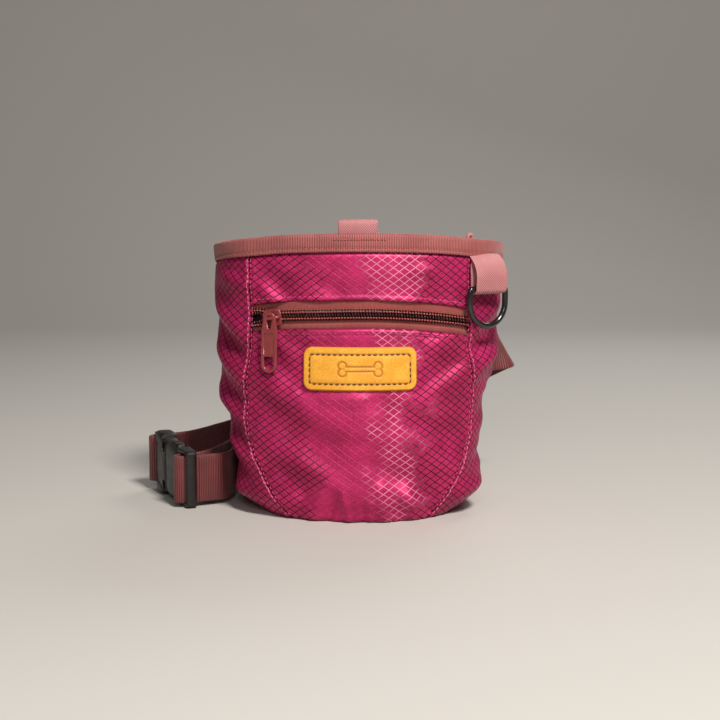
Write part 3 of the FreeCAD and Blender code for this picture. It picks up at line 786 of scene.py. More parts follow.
def make_binding():
    girth = half_round(140)
    levels = len(BINDING_PROFILE)

    def place(i, j):
        out, down = BINDING_PROFILE[round(i * (levels - 1))]
        s = mix(-girth, girth, j)
        return rim_point(s, out, down), (s, down - (12 if out < -1 else 0))
    piece = grid_piece("rim_binding_tape", levels, 440, place, mats["binding"], 0.5, wrap=True)
    dress(piece, "pouch", "webbing", "rim_binding", "rim_stiffener")
    outside = [rim_point(s, 0.72, 7.2) for s in steps(-girth, girth, 700)]
    inside = [rim_point(s, -2.66, 7.2) for s in steps(-girth, girth, 700)]
    tack = [rim_point(s, 1.08, 3.0) for s in steps(-13, 13, 30)]
    rows = [stitch_data(outside, outward), stitch_data(inside, lambda p: -outward(p)),
            stitch_data(tack, outward, pitch=1.6, length=1.3, radius=0.24)]
    dress(mesh_piece("rim_stitching", *gather(rows), mats["binding_thread"]), "pouch", "webbing")


def strip_mesh(name, line, width, up_at, thick, material, wave=0.0):
    """Flat webbing along a line: rounded edges, a slightly uneven face."""
    face = ((-0.5, 0.0), (-0.492, 0.34), (-0.46, 0.5), (-0.3, 0.5), (-0.1, 0.5), (0.1, 0.5),
            (0.3, 0.5), (0.46, 0.5), (0.492, 0.34))
    section = face + tuple((-across, -depth) for across, depth in face)
    count = len(line)
    verts, uvs, travelled = [], [], 0.0
    for i, point in enumerate(line):
        along = (line[min(i + 1, count - 1)] - line[max(i - 1, 0)]).normalized()
        up = up_at(i, along)
        flat = along.cross(up).normalized()
        travelled += (point - line[i - 1]).length if i else 0.0
        for across, depth in section:
            drift = wave * uneven(travelled / 13, across * 2, 1.0)
            verts.append(point + up * (across * width) + flat * (depth * thick + drift))
            uvs.append((travelled, across * width))
    return mesh_piece(name, verts, tube_faces(count, len(section)), material, uvs)


def fixed_up(direction):
    """Which way a strip's width points: always this way, square to its run."""
    up = Vector(direction).normalized()

    def at(_, along):
        return (up - along * up.dot(along)).normalized()
    return at


def make_pull_tab():
    """A loop of soft webbing behind the front of the rim; its plies part a little at the top."""
    x, y, half_gap = -1.0, -44.0, 1.35
    ply = ((0.75, 131.5), (0.85, 138), (1.15, 143), (half_gap, 146.5))  # off the middle, height
    line = [Vector((x, y - off, z)) for off, z in ply]
    line += [Vector((x, y - half_gap * math.cos(a), 148.3 + 1.5 * math.sin(a)))
             for a in steps(0, math.pi, 8)]
    line += [Vector((x, y + off, z)) for off, z in reversed(ply)]
    piece = strip_mesh("pull_tab_loop", line, 19.6, fixed_up((1, 0, 0.01)), 1.1, mats["tab"], 0.15)
    dress(subdivided(piece), "pouch", "webbing", "pull_tab")


def make_cord_end():
    """A doubled end of cord that stands up just behind the rim."""
    low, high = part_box("rim_cord_end")
    at = (low + high) / 2 / MM + UP * 3.2
    line = [at + Vector((-1.2 * math.cos(a), -0.6 * math.cos(a), 1.0 + 1.6 * math.sin(a)))
            for a in steps(0, math.pi, 12)]
    line = [line[0] - UP * 4] + line + [line[-1] - UP * 4]
    piece = mesh_piece("rim_cord_loop", *tube_data(line, 1.05, 12), mats["tab"])
    dress(piece, "pouch", "webbing", "rim_cord_end")


# ---- seams on the cloth -------------------------------------------------------------------
def make_topstitch():
    """A row on each side of the front seams, one at the back seams and one along the opening."""
    pale, plain = [], []
    for sign in (-1, 1):
        for away, rows in ((-1.1, pale), (1.1, plain)):
            line = [cloth_point(z, sign * (seam_s(z) - away), 0.05)
                    for z in steps(2.0, RIM_FRONT_Z - 12.5, 259)]
            rows.append(stitch_data(line, outward, radius=0.18))
        line = [cloth_point(z, sign * (back_seam_s(z) - 2), 0.05) for z in steps(3, 117, 200)]
        plain.append(stitch_data(line, outward))
    for sign in (1, -1):
        line = []
        for x in steps(-53.5, 53.5, 199):
            z = zip_edge_z(x, sign * ZIP_HALF_OPENING) + sign * 2.4
            line.append(cloth_point(z, math.copysign(length_to_x(z, abs(x)), x), -0.05))
        plain.append(stitch_data(line, outward))
    dress(mesh_piece("cloth_topstitching", *gather(plain), mats["thread"]), "pouch", "fabric")
    dress(mesh_piece("seam_topstitching", *gather(pale), mats["pale_thread"]), "pouch", "fabric")


# ---- leather patch ------------------------------------------------------------------------
PATCH_HALF_X, PATCH_HALF_Z, PATCH_CORNER = 28.0, 10.85, 4.5
PATCH_Z = 77.25  # its middle
STITCH_INSET = 3.6


def patch_inside(x, z):
    """Distance inside the patch's rounded rectangle; negative outside it."""
    dx = abs(x) - PATCH_HALF_X + PATCH_CORNER
    dz = abs(z - PATCH_Z) - PATCH_HALF_Z + PATCH_CORNER
    outside = math.hypot(max(dx, 0), max(dz, 0)) + min(max(dx, dz), 0)
    return PATCH_CORNER - outside


def bone_press(x, z):
    """A pressed bone outline in the middle: 1 along its line, 0 away from it."""
    x, z = abs(x), abs(z - PATCH_Z)
    shaft = max(z - 1.15, x - 8.0)
    knob = math.hypot(x - 8.6, z - 1.65) - 1.95
    return bell(min(shaft, knob), 0.42)


def patch_place(x, z, out):
    point, normal = outline_point(z, x)
    return point + normal * (fullness(x, z) + out)


def make_patch():
    """Leather on the cloth's curve: rounded edge, stitched channel and pressed bone in the mesh."""
    cols, rows = 168, 68
    verts, worn = [], []
    for i in range(rows):
        for j in range(cols):
            x = (2 * j / (cols - 1) - 1) * PATCH_HALF_X
            z = (2 * i / (rows - 1) - 1) * PATCH_HALF_Z
            corner_x = abs(x) - PATCH_HALF_X + PATCH_CORNER
            corner_z = abs(z) - PATCH_HALF_Z + PATCH_CORNER
            if corner_x > 0 and corner_z > 0:
                reach = max(corner_x, corner_z) / math.hypot(corner_x, corner_z)
                x = math.copysign(PATCH_HALF_X - PATCH_CORNER + corner_x * reach, x)
                z = math.copysign(PATCH_HALF_Z - PATCH_CORNER + corner_z * reach, z)
            z += PATCH_Z
            inside = patch_inside(x, z)
            rim = 1 - smooth(inside / 1.1)
            channel = bell(inside - STITCH_INSET, 0.5)
            bone = bone_press(x, z)
            out = 1.65 - 1.5 * rim ** 2 - 0.3 * channel - 0.5 * bone
            verts.append(patch_place(x, z, out + 0.12 * smooth((inside - 4.4) / 1.5)))
            worn.append(min(1.0, 0.35 * rim + 0.45 * channel + 0.8 * bone))
    piece = mesh_piece("leather_label", verts, grid_faces(rows, cols), mats["leather"], thickness=1.5)
    piece.data.attributes.new("worn", "FLOAT", "POINT").data.foreach_set("value", worn)
    dress(piece, "pouch", "leather", "leather_patch")
    radius = 1.6
    across, up = PATCH_HALF_X - STITCH_INSET - radius, PATCH_HALF_Z - STITCH_INSET - radius
    ring = []
    for sx, sz, start in ((1, 1, 0), (-1, 1, 90), (-1, -1, 180), (1, -1, 270)):
        ring += arc_points(sx * across, PATCH_Z + sz * up, radius, start, start + 90, 6)
    line = []
    for (x0, z0), (x1, z1) in zip(ring, ring[1:] + ring[:1]):
        count = max(1, round(math.hypot(x1 - x0, z1 - z0) / 2))
        line += [patch_place(mix(x0, x1, k / count), mix(z0, z1, k / count), 1.5)
                 for k in range(count)]
    stitches = stitch_data(line, lambda p: Vector((p.x * 0.4, -50, 0)), pitch=2.8, radius=0.3)
    dress(mesh_piece("label_stitching", *stitches, mats["dark_thread"]), "pouch", "leather")


# ---- zipper -------------------------------------------------------------------------------
def make_tapes():
    """Two tapes with a bead beside the coil; their outer edges go deeper, under the cloth."""
    half_length, inner, outer = 55.6, 2.4, 10.2
    for name, sign in (("upper", 1), ("lower", -1)):
        def place(i, j, sign=sign):
            x = mix(-half_length, half_length, j)
            rise = sign * mix(inner, outer, i if sign > 0 else 1 - i)
            depth = 1.6 + 0.9 * bell(rise + 3.0, 1.1) + 1.6 * smooth((abs(rise) - 6.6) / 2.4)
            return zip_point(x, depth, rise), (x, rise)
        piece = grid_piece(f"zip_tape_{name}", 20, 130, place, mats["tape"], thickness=0.6)
        dress(piece, "pouch", "zipper_tape", f"zipper_tape_{name}")


COIL_PITCH, COIL_TURNS_EACH_WAY = 1.42, 38
# A turn of the coil from its tape to its head: share of the way, depth, thickness.
COIL_TURN = ((0, 1.9, 0.3), (0.2, 1.5, 0.34), (0.5, 1.05, 0.34), (0.72, 0.35, 0.4),
             (0.88, -0.05, 0.52), (1.0, 0.5, 0.36))
CHAIN_STITCH = ((-0.36, 0.02, 1.25, 1.9), (0.02, 0.4, 1.9, 1.25))  # x of two ends, rise of both
TICK = ((-0.1, 0.75, 2.35), (0, 0.45, 2.65), (0.1, 0.85, 3.0))


def make_coils():
    """Two rows of coil turns that mesh at the middle, parting to the left of the slider."""
    for name, sign in (("upper", 1), ("lower", -1)):
        parts, chain = [], []
        for k in range(-COIL_TURNS_EACH_WAY, COIL_TURNS_EACH_WAY + 1):
            x = (k + 0.25 * sign) * COIL_PITCH
            part = 2.1 * smooth((SLIDER_X + 1.0 - x) / 9.0)

            def at(aside, depth, rise):
                return zip_point(x + aside, depth, sign * (rise + part))
            turn = [at(0.34 * share * sign, depth, mix(2.7, -0.5, share))
                    for share, depth, _ in COIL_TURN]
            parts.append(tube_data(turn, [thick for _, _, thick in COIL_TURN], sides=8))
            back = [at(0.34 * sign, 1.0, -0.35), at(0.71, 1.35, 2.6)]
            parts.append(tube_data(back, 0.3, sides=6))
            for start, end, low, high in CHAIN_STITCH:
                strand = [at(mix(start, end, t), 0.25 - 0.1 * math.sin(math.pi * t), mix(low, high, t))
                          for t in steps(0, 1, 3)]
                chain.append(tube_data(strand, [0.18, 0.30, 0.30, 0.18], sides=6))
            if sign > 0:
                chain.append(tube_data([at(*place) for place in TICK], [0.18, 0.24, 0.18], sides=6))
        piece = mesh_piece(f"zip_coil_{name}", *gather(parts), mats["coil"])
        dress(piece, "pouch", "zipper_coil", f"zipper_coil_{name}")
        piece = mesh_piece(f"zip_coil_stitching_{name}", *gather(chain), mats["coil_thread"])
        dress(piece, "pouch", "zipper_coil")


def plate_data(outer, holes, thick, bevel):
    """A flat plate from closed outlines in its own plane, with rounded edges."""
    curve = bpy.data.curves.new("plate", "CURVE")
    curve.dimensions = "2D"
    curve.fill_mode = "BOTH"
    curve.extrude = thick / 2 - bevel
    curve.bevel_depth = bevel
    curve.bevel_resolution = 3
    curve.offset = -bevel
    for ring in (outer, *holes):
        spline = curve.splines.new("POLY")
        spline.points.add(len(ring) - 1)
        for point, (x, y) in zip(spline.points, ring):
            point.co = (x, y, 0, 1)
        spline.use_cyclic_u = True
    return curve_mesh(curve)


def placed(data, matrix):
    verts, faces = data
    return [matrix @ v for v in verts], faces


def arc_points(cx, cy, radius, start, end, count=12):
    """Points of an arc between two angles in degrees."""
    return [(cx + radius * math.cos(math.radians(a)), cy + radius * math.sin(math.radians(a)))
            for a in steps(start, end, count)]


def box_points(half, low, high):
    """The corners of an upright rectangle, from its lower left."""
    return [(-half, low), (half, low), (half, high), (-half, high)]


def axes(x, y, z, origin):
    """A matrix from three directions and a place, in millimetres."""
    m = Matrix((x, y, z)).transposed().to_4x4()
    m.translation = origin
    return m


def make_slider():
    """Slider body: two shaped plates with rails, and a crown that the puller hangs from."""
    wide, narrow, nose, tail, waist = 4.4, 3.5, -5.0, 5.0, 1.0
    outer = [(nose, 2.2), (nose, -2.2), (nose + 1.8, -wide), (waist, -wide), (tail, -narrow),
             (tail, narrow), (waist, wide), (nose + 1.8, wide)]
    flat = axes((1, 0, 0), (0, 0, 1), (0, -1, 0), (0, 0, 0))
    centre = Vector((0, FRONT_Y, ZIP_Z))
    plate = placed(plate_data(outer, (), 1.1, 0.35), flat)
    parts = [placed(plate, Matrix.Translation(centre + Vector((0, y, 0)))) for y in (-0.5, 3.2)]
    for sign in (-1, 1):
        rail = [centre + Vector((x, 0.1, sign * z))
                for x, z in ((nose + 1.9, 3.95), (waist, 3.95), (tail - 0.3, 3.15))]
        parts.append(tube_data(rail, 0.55, 10))
    parts.append(tube_data([centre + Vector((nose + 1.4, y, 0)) for y in (0, 3.0)], 0.5, 10))
    crown = [centre + Vector((-4.1 * math.cos(a), -0.4 - 3.0 * math.sin(a) ** 0.6, 0))
             for a in steps(0, math.pi, 16)]
    parts.append(tube_data(crown, 0.8, 12, squeeze=1.25))
    turn = Matrix.Rotation(math.asin(SLIDER_X / zip_radius), 4, zip_axis)
    turn = Matrix.Translation(zip_centre) @ turn @ Matrix.Translation(-zip_centre)
    turn = Matrix.Translation(UP * SLIDER_LIFT) @ turn
    piece = mesh_piece("zip_slider", *placed(gather(parts), turn), mats["enamel"])
    dress(piece, "slider", "enamel", "zipper_slider")


def make_puller():
    """Long pull: eye at the top, raised rim, sunk middle panel and a U-shaped hole at its end."""
    hinge = joints["puller_swing"]
    along = Vector(hinge["axis"]).normalized()
    hang = (-UP - along * (-UP).dot(along)).normalized()
    out = hang.cross(along)
    lean = Matrix.Rotation(math.radians(PULLER_LEAN), 3, out)
    along, hang = lean @ along, lean @ hang
    at = Vector(hinge["pos_m"]) / MM + UP * SLIDER_LIFT
    half, end, eye, shoulder = 4.3, -27.2, 3.2, -6.0
    outer = arc_points(0, end + half, half, 180, 360) + [(half, shoulder)]
    outer += arc_points(0, 0.0, eye, 8, 172) + [(-half, shoulder)]
    eye_hole = [(-0.7, -5.0), (0.7, -5.0)] + arc_points(0, -0.1, 1.75, -5, 185)
    end_hole = arc_points(0, end + half, half - 1.7, 180, 360) + [(2.6, end + 8.2), (-2.6, end + 8.2)]
    window = box_points(2.7, end + 9.4, -7.4)
    rim = plate_data(outer, (eye_hole, end_hole, window), 1.5, 0.42)
    panel = plate_data(box_points(3.0, end + 8.9, -7.0), (), 0.8, 0.15)
    flat = axes(along, -hang, out if out.y < 0 else -out, at)
    piece = mesh_piece("zip_puller", *placed(gather([rim, panel]), flat), mats["enamel"])
    dress(piece, "puller", "enamel", "zipper_puller")


# ---- D-ring -------------------------------------------------------------------------------
RING_WIRE = 1.55  # its radius


def d_axes():
    """The middle of the ring's bar, the way along it and the way it faces."""
    hinge = joints["d_ring_swing"]
    along = Vector(hinge["axis"]).normalized()
    return Vector(hinge["pos_m"]) / MM, along, along.cross(UP).normalized()


def make_d_ring():
    at, along, _ = d_axes()
    at -= along * 1.9
    half, straight = 11.2, 7.6
    corner = [(half - 1.2, 0), (half - 0.35, -0.35), (half, -1.2), (half, -straight * 0.6)]
    line = [(-half * 0.5, 0), (0, 0), (half * 0.5, 0)] + corner
    line += arc_points(0, -straight, half, 0, -180, 18)
    line += [(-x, z) for x, z in reversed(corner)]
    points = [at + along * x + UP * z for x, z in line]
    wire = tube_data(points, RING_WIRE, 16, closed=True)
    dress(subdivided(mesh_piece("d_ring_wire", *wire, mats["black"])), "ring", "d_ring", "d_ring")


def make_d_loop():
    """Webbing from under the binding, round the bar and back up behind itself."""
    at, along, facing = d_axes()
    at -= along * 1.2
    line = [(-3.6, 15.8), (-2.3, 9.0), (-2.1, 4.0)]
    line += arc_points(0, 0, RING_WIRE + 0.68, 180, 360)
    line += [(2.4, 3.0), (2.7, 5.4), (2.3, 8.6), (1.0, 11.6), (-1.0, 14.0), (-3.0, 15.6), (-4.6, 17.2)]
    points = [at + facing * x + UP * z for x, z in line]
    piece = strip_mesh("d_ring_tape", points, 19.4, fixed_up(along), 1.15, mats["tab"], 0.12)
    dress(subdivided(piece), "pouch", "webbing", "d_ring_loop")


# ---- belt: routes as the frame has them, in metres ----------------------------------------
ROUTE_PLUG = (
    (-0.0490, 0.0499, 0.0750), (-0.0570, 0.0504, 0.0750), (-0.0650, 0.0540, 0.0750),
    (-0.0660, 0.0615, 0.0746), (-0.0575, 0.0658, 0.0740), (-0.0400, 0.0685, 0.0720),
    (-0.0180, 0.0730, 0.0670), (-0.0025, 0.0795, 0.0600), (0.0015, 0.0870, 0.0535),
    (-0.0060, 0.0915, 0.0465), (-0.0210, 0.0840, 0.0390), (-0.0380, 0.0715, 0.0325),
    (-0.0560, 0.0585, 0.0270), (-0.0730, 0.0500, 0.0225), (-0.0875, 0.0449, 0.0184),
    (-0.09901, 0.04041, 0.0166), (-0.10775, 0.03643, 0.0166),
)
ROUTE_SOCKET = (
    (0.0490, 0.0499, 0.0750), (0.0580, 0.0502, 0.0750), (0.0690, 0.0518, 0.0752),
    (0.0800, 0.0548, 0.0758), (0.0815, 0.0625, 0.0754), (0.0705, 0.0675, 0.0695),
    (0.0540, 0.0720, 0.0605), (0.0360, 0.0780, 0.0500), (0.0160, 0.0860, 0.0390),
    (-0.0060, 0.0950, 0.0275), (-0.0270, 0.1015, 0.0175), (-0.0450, 0.1065, 0.0132),
    (-0.0535, 0.1135, 0.0128), (-0.0440, 0.1205, 0.0128), (-0.0180, 0.1220, 0.0128),
    (0.0120, 0.1205, 0.0128), (0.0380, 0.1165, 0.0128), (0.0545, 0.1070, 0.0128),
    (0.0600, 0.0920, 0.0128), (0.0590, 0.0755, 0.0128), (0.0515, 0.0605, 0.0128),
    (0.0370, 0.0524, 0.0128), (0.0170, 0.0500, 0.0128), (-0.0070, 0.0502, 0.0128),
    (-0.0290, 0.0504, 0.0130), (-0.0470, 0.0476, 0.0134), (-0.0610, 0.0370, 0.0140),
    (-0.0678, 0.0220, 0.0148), (-0.0680, 0.0060, 0.0156), (-0.0698, -0.0058, 0.0162),
    (-0.07671, -0.01065, 0.0166), (-0.08463, -0.01426, 0.0166),
)
# The webbing at the buckle: out and along in the buckle's own axes, in millimetres.
FOLD_AT_PLUG = ((-4.2, 27.85), (5.3, 27.7), (5.3, 21.5), (-4.4, 21.3), (-9.5, 25.9), (-15.0, 26.1))
FOLD_AT_SOCKET = ((-4.2, -27.85), (6.7, -27.7), (6.7, -21.5), (-4.2, -21.3))
TAIL = ((-4.35, -21.3), (-10.5, -20.6), (-21.4, -11.2), (-31.3, -0.3), (-38.5, 9.5), (-45.9, 16.1))
FOLD_DROP = -0.4  # how far its middle lies off the buckle's
BUCKLE_TILT, BUCKLE_DROP = 0.05, 0.3
BELT_WIDTH, BELT_THICK = 25.0, 1.5
SOCKET_RUN_LEAN = (((81.0, 58.5, 75.5), (-0.483, 0.0, 0.875), 42.0),)  # see upright
buckle_along = Vector(joints["buckle_release"]["axis"]).normalized()
buckle_out = Vector((-buckle_along.y, buckle_along.x, 0))
BUCKLE_AT = Vector((-100.1, 9.3, 17.0))


def buckle_place(out, along, up=0.0):
    """A point in the buckle's own axes; its near end sags a little under the free tail."""
    return (BUCKLE_AT + buckle_out * out + buckle_along * along
            + UP * (up + BUCKLE_TILT * along - BUCKLE_DROP))


def spline_line(points):
    """The smooth line of a NURBS spline with these control points, in their own units."""
    curve = bpy.data.curves.new("route", "CURVE")
    curve.dimensions = "3D"
    curve.resolution_u = 10
    spline = curve.splines.new("NURBS")
    spline.points.add(len(points) - 1)
    for point, co in zip(spline.points, points):
        point.co = (*co, 1)
    spline.order_u = 3
    spline.use_endpoint_u = True
    return curve_mesh(curve)[0]


def fold_line(points):
    """A short run of webbing: its corners drawn in as tight, even turns, not a long slack curve."""
    spread = [points[0]]
    for a, b in zip(points, points[1:]):
        spread += [a.lerp(b, 0.3), a.lerp(b, 0.7)]
    return spline_line(spread + [points[-1]])


def upright(line, lean=()):
    """Webbing on its edge: square to its run, and leaning where lean says (place, lean, reach)."""
    def at(i, along):
        up = UP - along * along.z * 0.8
        for place, direction, reach in lean:
            near = smooth(1 - (line[i] - Vector(place)).length / reach)
            up = up.normalized().lerp(Vector(direction).normalized(), near)
        return (up - along * up.dot(along)).normalized()
    return at


def belt_strip(name, line, up_at, wave=0.0):
    return strip_mesh(name, line, BELT_WIDTH, up_at, BELT_THICK, mats["webbing"], wave)


def belt_run(name, route, lean=()):
    """A run of the belt on its route, which sags with the buckle near its end; and its path."""
    path = spline_line(route)
    line = [point / MM for point in path]
    for point in line:
        from_buckle = point - BUCKLE_AT
        near = smooth(1.6 - from_buckle.length / 38.0)
        point.z += near * (BUCKLE_TILT * from_buckle.dot(buckle_along) - BUCKLE_DROP)
    belts[name] = belt_strip(name, line, upright(line, lean), 0.25)
    return belts[name], path


def make_belt():
    piece, paths["plug"] = belt_run("belt_to_plug", ROUTE_PLUG)
    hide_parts("belt_plug_side")
    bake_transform(piece)
    piece, paths["socket"] = belt_run("belt_to_socket", ROUTE_SOCKET, SOCKET_RUN_LEAN)
    dress(piece, "pouch", "webbing", "belt_socket_side")
    line = [Vector((x, 49.9, 75.0)) for x in steps(-49.2, 49.2, 40)]
    piece = belt_strip("belt_in_sleeve_webbing", line, fixed_up(UP))
    dress(piece, "pouch", "webbing", "belt_in_sleeve")
    for name, points, body, node in (
            ("belt_turn_at_plug", FOLD_AT_PLUG, "plug", "belt_fold_plug"),
            ("belt_turn_at_socket", FOLD_AT_SOCKET, "pouch", "belt_fold_socket"),
            ("belt_free_tail", TAIL, "pouch", "belt_tail")):
        line = fold_line([buckle_place(*point, FOLD_DROP) for point in points])
        belts[name] = dress(belt_strip(name, line, fixed_up(UP), 0.1), body, "webbing", node)


def make_sleeve():
    """Back sleeve: a strip of the pouch's cloth sewn above and below the belt."""
    low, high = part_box("belt_sleeve")
    low, high = low / MM, high / MM
    middle, half_z = (low.z + high.z) / 2, (high.z - low.z) / 2

    def place(i, j):
        v = 2 * i - 1
        x = -mix(low.x, high.x, j)
        z = middle + v * half_z
        swell = smooth((1 - abs(v)) / 0.16)
        wall = outline_point(z, half_round(z))[0].y
        ruck = 0.35 * uneven(x / 9, z / 7, 4.0)
        y = mix(wall + 0.9, high.y - 0.1 + ruck, swell)
        return Vector((x, y, z)), (x + BACK_OF_CLOTH, z)
    piece = grid_piece("sleeve_cloth", 41, 120, place, mats["fabric"], thickness=0.8)
    dress(piece, "pouch", "fabric", "belt_sleeve")
    rows = []
    for edge in (-1, 1):
        for inset in (0.66, 1.595):
            z = middle + edge * (half_z - inset)
            wall = outline_point(z, half_round(z))[0].y
            line = [Vector((x, wall + 1.25, z)) for x in steps(-47, 47, 60)]
            rows.append(stitch_data(line, lambda p: Vector((0, 1, 0))))
    dress(mesh_piece("sleeve_stitching", *gather(rows), mats["thread"]), "pouch", "fabric")


# ---- buckle -------------------------------------------------------------------------------
def block_data(half_out, along, up, round_off):
    """A block between limits in the buckle's axes, its edges rounded."""
    work = bmesh.new()
    bmesh.ops.create_cube(work, size=1.0)
    limits = (-half_out, half_out), along, up
    for vert in work.verts:
        vert.co = Vector([mix(a, b, c + 0.5) for (a, b), c in zip(limits, vert.co)])
    bmesh.ops.bevel(work, geom=work.edges[:], offset=round_off, segments=3, profile=0.5,
                    affect="EDGES")
    verts = [buckle_place(*vert.co) for vert in work.verts]
    faces = [tuple(vert.index for vert in face.verts) for face in work.faces]
    work.free()
    return verts, faces


def upper_and_lower(half_out, along, low, high, round_off):
    """Two blocks, one at each edge of the buckle."""
    return [block_data(half_out, along, up, round_off) for up in ((low, high), (-high, -low))]


def ring_data(rings):
    """A closed body lofted through rings of (out, along, up) points."""
    verts = [buckle_place(*point) for ring in rings for point in ring]
    return verts, tube_faces(len(rings), len(rings[0]))


def oval(along, thick, wide, middle=0.0, sides=32, power=5.0):
    """A ring between an ellipse and a rectangle; more power squares it."""
    ring = []
    for k in range(sides):
        a = 2 * math.pi * k / sides
        c, s = math.cos(a), math.sin(a)
        ring.append((math.copysign(abs(c) ** (2 / power), c) * thick, along,
                     middle + math.copysign(abs(s) ** (2 / power), s) * wide))
    return ring


def frame_data(side):
    """The end of a half: two rails and the bars between them that the webbing turns round."""
    if side > 0:
        rail = ((18.6, 3.0, 1.2, 13.5), (22, 2.6, 0.8, 13.3), (26, 2.3, 0.7, 13.2),
                (27.2, 1.4, 0.5, 13.0))
        bars = ((24.6, 1.5, 1.5),)
    else:
        rail = ((18.6, 3.6, 1.5, 13.3), (22, 3.3, 1.25, 13.6), (27, 3.1, 1.2, 13.7),
                (30, 3.0, 1.2, 13.6), (31.6, 2.4, 1.0, 13.2), (32.0, 1.4, 0.6, 12.8))
        bars = ((24.6, 1.5, 1.5), (30.8, 2.9, 1.25))
    parts = []
    for up in (-1, 1):
        rings = [oval(side * a, thick, wide, up * middle, 20) for a, thick, wide, middle in rail]
        parts.append(ring_data(rings if side > 0 else rings[::-1]))
    for along, thick, deep in bars:
        angles = [side * -2 * math.pi * n / 18 for n in range(18)]
        parts.append(ring_data([
            [(math.cos(a) * thick, side * (along + math.sin(a) * deep), up) for a in angles]
            for up in steps(-13.4, 13.4, 8)]))
    return parts


def faces_outward(mesh):
    """Turn a closed mesh's faces to look outward, which the cuts depend on."""
    work = bmesh.new()
    work.from_mesh(mesh)
    bmesh.ops.recalc_face_normals(work, faces=work.faces[:])
    work.to_mesh(mesh)
    work.free()


def hollowed(piece, cutters):
    """Cut blocks out of a finished body, for a buckle half's windows and slots."""
    faces_outward(piece.data)
    for verts, faces in cutters:
        mesh = bpy.data.meshes.new("cutter")
        mesh.from_pydata([v * MM for v in verts], [], faces)
        faces_outward(mesh)
        tool = bpy.data.objects.new("cutter", mesh)
        bpy.context.collection.objects.link(tool)
        cut = piece.modifiers.new("cut", "BOOLEAN")
        cut.operation, cut.solver, cut.object = "DIFFERENCE", "EXACT", tool
        apply_modifiers(piece)
        bpy.data.objects.remove(tool)
        bpy.data.meshes.remove(mesh)


def apply_modifiers(piece):
    """Make a piece's evaluated shape its own mesh."""
    bpy.context.view_layer.update()
    shape = piece.evaluated_get(bpy.context.evaluated_depsgraph_get())
    mesh = bpy.data.meshes.new_from_object(shape)
    old = piece.data
    piece.modifiers.clear()
    piece.data = mesh
    bpy.data.meshes.remove(old)


# Stations of the buckle's bodies, from end to end: along, half thickness, half width; for the
# domes and pads also the middle's height.
SOCKET_SHELL = ((-19.6, 3.4, 12.4), (-19.0, 4.2, 13.6), (-17.5, 4.6, 14.4), (-14, 4.75, 14.8),
                (-8, 4.8, 14.9), (-3.4, 4.7, 14.7), (-1.2, 4.4, 14.3), (-0.3, 3.8, 13.5))
PLUG_HEAD = ((0.3, 3.8, 13.5), (1.2, 4.4, 14.3), (3.4, 4.7, 14.7), (9, 4.8, 14.8),
             (14.5, 4.4, 14.6), (18.0, 3.8, 14.2), (19.2, 3.3, 13.6), (19.6, 2.8, 12.6))
DOME = ((6.3, 3.4, 1.2, 13.0), (6.8, 4.2, 2.6, 13.5), (8.2, 4.7, 3.3, 13.5), (11, 4.9, 3.5, 13.4),
        (15.5, 4.8, 3.5, 13.3), (18.4, 4.2, 3.2, 13.0), (19.8, 3.4, 2.6, 12.6), (20.4, 2.2, 1.2, 12.0))
PAD = ((-16.0, 1.6, 1.0, 12.6), (-15.4, 2.3, 1.8, 13.2), (-13.0, 2.6, 2.0, 13.4),
       (-9.0, 2.6, 2.0, 13.4), (-6.8, 2.2, 1.6, 13.0), (-6.0, 1.4, 0.8, 12.4))


def buckle_half(name, body, node, shell, rest, cutters):
    """A half's hollow shell, and the solid parts round it as a piece of their own."""
    shell = mesh_piece(name, *ring_data([oval(*station) for station in shell]), mats["buckle"])
    hollowed(shell, cutters)
    rest = mesh_piece(f"{name}_frame", *gather(rest), mats["buckle"])
    for piece in (shell, rest):
        faces_outward(piece.data)
        piece.data.shade_smooth()
        piece.data.set_sharp_from_angle(angle=SHARP)
    buckle[name] = dress(shell, body, "buckle", node)
    buckle[f"{name}_frame"] = dress(rest, body, "buckle")


def make_buckle():
    windows = upper_and_lower(3.0, (-17.0, -5.4), 9.0, 20.0, 0.5)
    cavity = block_data(3.2, (-17.9, 2.0), (-12.0, 12.0), 0.5)
    buckle_half("buckle_socket_half", "pouch", "buckle_socket", SOCKET_SHELL, frame_data(-1),
                [*windows, cavity])
    eyes = upper_and_lower(8, (1.6, 5.8), 7.8, 12.8, 1.2)
    arm_slots = upper_and_lower(1.9, (-2.0, 1.9), 8.3, 11.7, 0.2)
    domes = [ring_data([oval(a, thick, wide, side * up, 28, 3.6) for a, thick, wide, up in DOME])
             for side in (-1, 1)]
    prong = block_data(2.4, (-16.0, 1.0), (-2.0, 2.0), 0.7)
    buckle_half("buckle_plug_half", "plug", "buckle_plug", PLUG_HEAD,
                [*frame_data(1), *domes, prong], [*eyes, *arm_slots])
    blades = upper_and_lower(1.6, (-16.0, -1.6), 9.2, 11.6, 0.4)
    roots = upper_and_lower(1.6, (-2.0, 1.6), 8.6, 11.4, 0.4)
    for name, side, blade, root in zip(("upper_arm", "lower_arm"), (1, -1), blades, roots):
        pad = ring_data([oval(a, thick, wide, side * up, 20, 2.8) for a, thick, wide, up in PAD])
        piece = mesh_piece(f"buckle_{name}_spring", *gather([pad, blade, root]), mats["buckle"])
        faces_outward(piece.data)
        piece.data.set_sharp_from_angle(angle=SHARP)
        buckle[name] = dress(piece, name, "buckle", f"buckle_{name}")


# ---- pieces of the frame that stay --------------------------------------------------------
def dress_frame():
    for node, material in (("closure_magnet_front", "magnet"), ("closure_magnet_back", "magnet"),
                           ("pocket_backing", "lining")):
        mesh = frame["nodes"][node].data
        mesh.materials.clear()
        mesh.materials.append(mats[material])


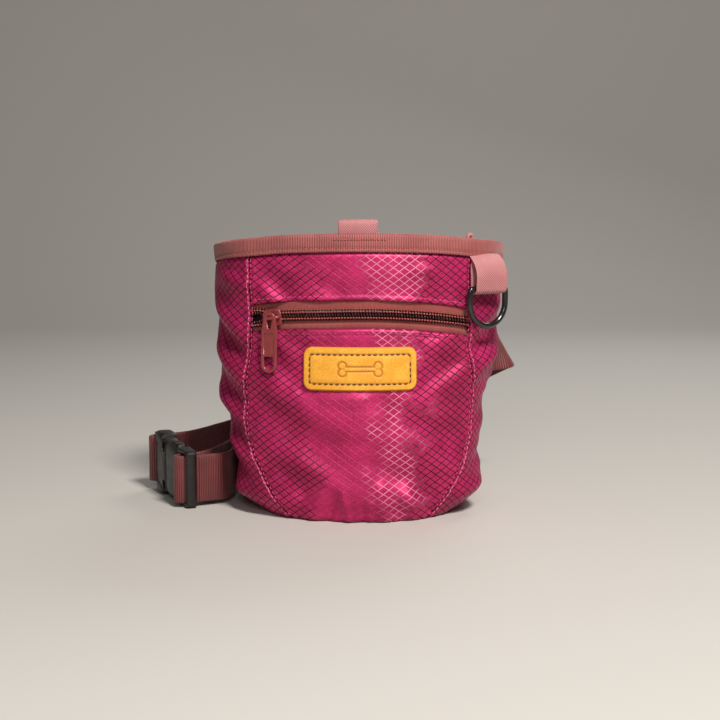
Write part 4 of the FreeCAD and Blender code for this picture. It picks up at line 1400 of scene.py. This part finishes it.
# ---- stage --------------------------------------------------------------------------------
def make_stage():
    """A sheet of paper on the floor that curves up behind, in millimetres."""
    size, curve_start, radius = 3000, 900, 500
    profile = [(-size, 0), *arc_points(curve_start, radius, radius, -90, 0, 9),
               (curve_start + radius, size)]
    verts = [(x, y, z) for y, z in profile for x in (-size, size)]
    faces = [(2 * k, 2 * k + 1, 2 * k + 3, 2 * k + 2) for k in range(len(profile) - 1)]
    paper = Shader("paper", 0.9, Base_Color=(0.50, 0.48, 0.445, 1))
    mesh_piece("floor", verts, faces, paper.material)


def add_light(name, place, target, size, power, colour):
    lamp = bpy.data.lights.new(name, "AREA")
    lamp.shape = "RECTANGLE"
    lamp.size, lamp.size_y = size
    lamp.energy = power
    lamp.color = colour
    holder = bpy.data.objects.new(name, lamp)
    holder.location = place
    holder.rotation_euler = (Vector(target) - Vector(place)).to_track_quat("-Z", "Y").to_euler()
    bpy.context.collection.objects.link(holder)


def make_lights():
    world = bpy.data.worlds.new("studio")
    world.use_nodes = True
    background = world.node_tree.nodes["Background"]
    background.inputs["Color"].default_value = (0.96, 0.98, 1.0, 1)
    background.inputs["Strength"].default_value = 0.10
    bpy.context.scene.world = world
    add_light("key", (0.34, -0.78, 1.0), (0, 0, 0.08), (0.26, 0.24), 19.0, (1.0, 0.96, 0.92))
    add_light("front", (-0.05, -1.0, 0.5), (0, 0, 0.08), (0.3, 0.3), 2.0, (1.0, 0.97, 0.95))
    add_light("back", (0.35, 0.75, 0.8), (0, 0, 0.1), (0.5, 0.4), 3.0, (1.0, 1.0, 1.0))


def make_camera():
    camera = bpy.data.cameras.new("camera")
    camera.lens, camera.sensor_width = 75.0, 36.0
    camera.clip_start, camera.clip_end = 0.05, 20.0
    holder = bpy.data.objects.new("camera", camera)
    holder.location = (0.0, -0.783, 0.172)
    holder.rotation_euler = (math.radians(90 - 7.03), 0, 0)
    bpy.context.collection.objects.link(holder)
    bpy.context.scene.camera = holder


belts, paths, buckle = {}, {}, {}
for make in (make_camera, make_stage, make_lights, make_belt, make_buckle, make_front, make_sides,
             make_back, make_base, make_lining, make_binding, make_pull_tab, make_cord_end,
             make_topstitch, make_patch, make_tapes, make_coils, make_slider, make_puller,
             make_d_ring, make_d_loop, make_sleeve, dress_frame):
    make()
bpy.context.scene.view_settings.view_transform = "Standard"
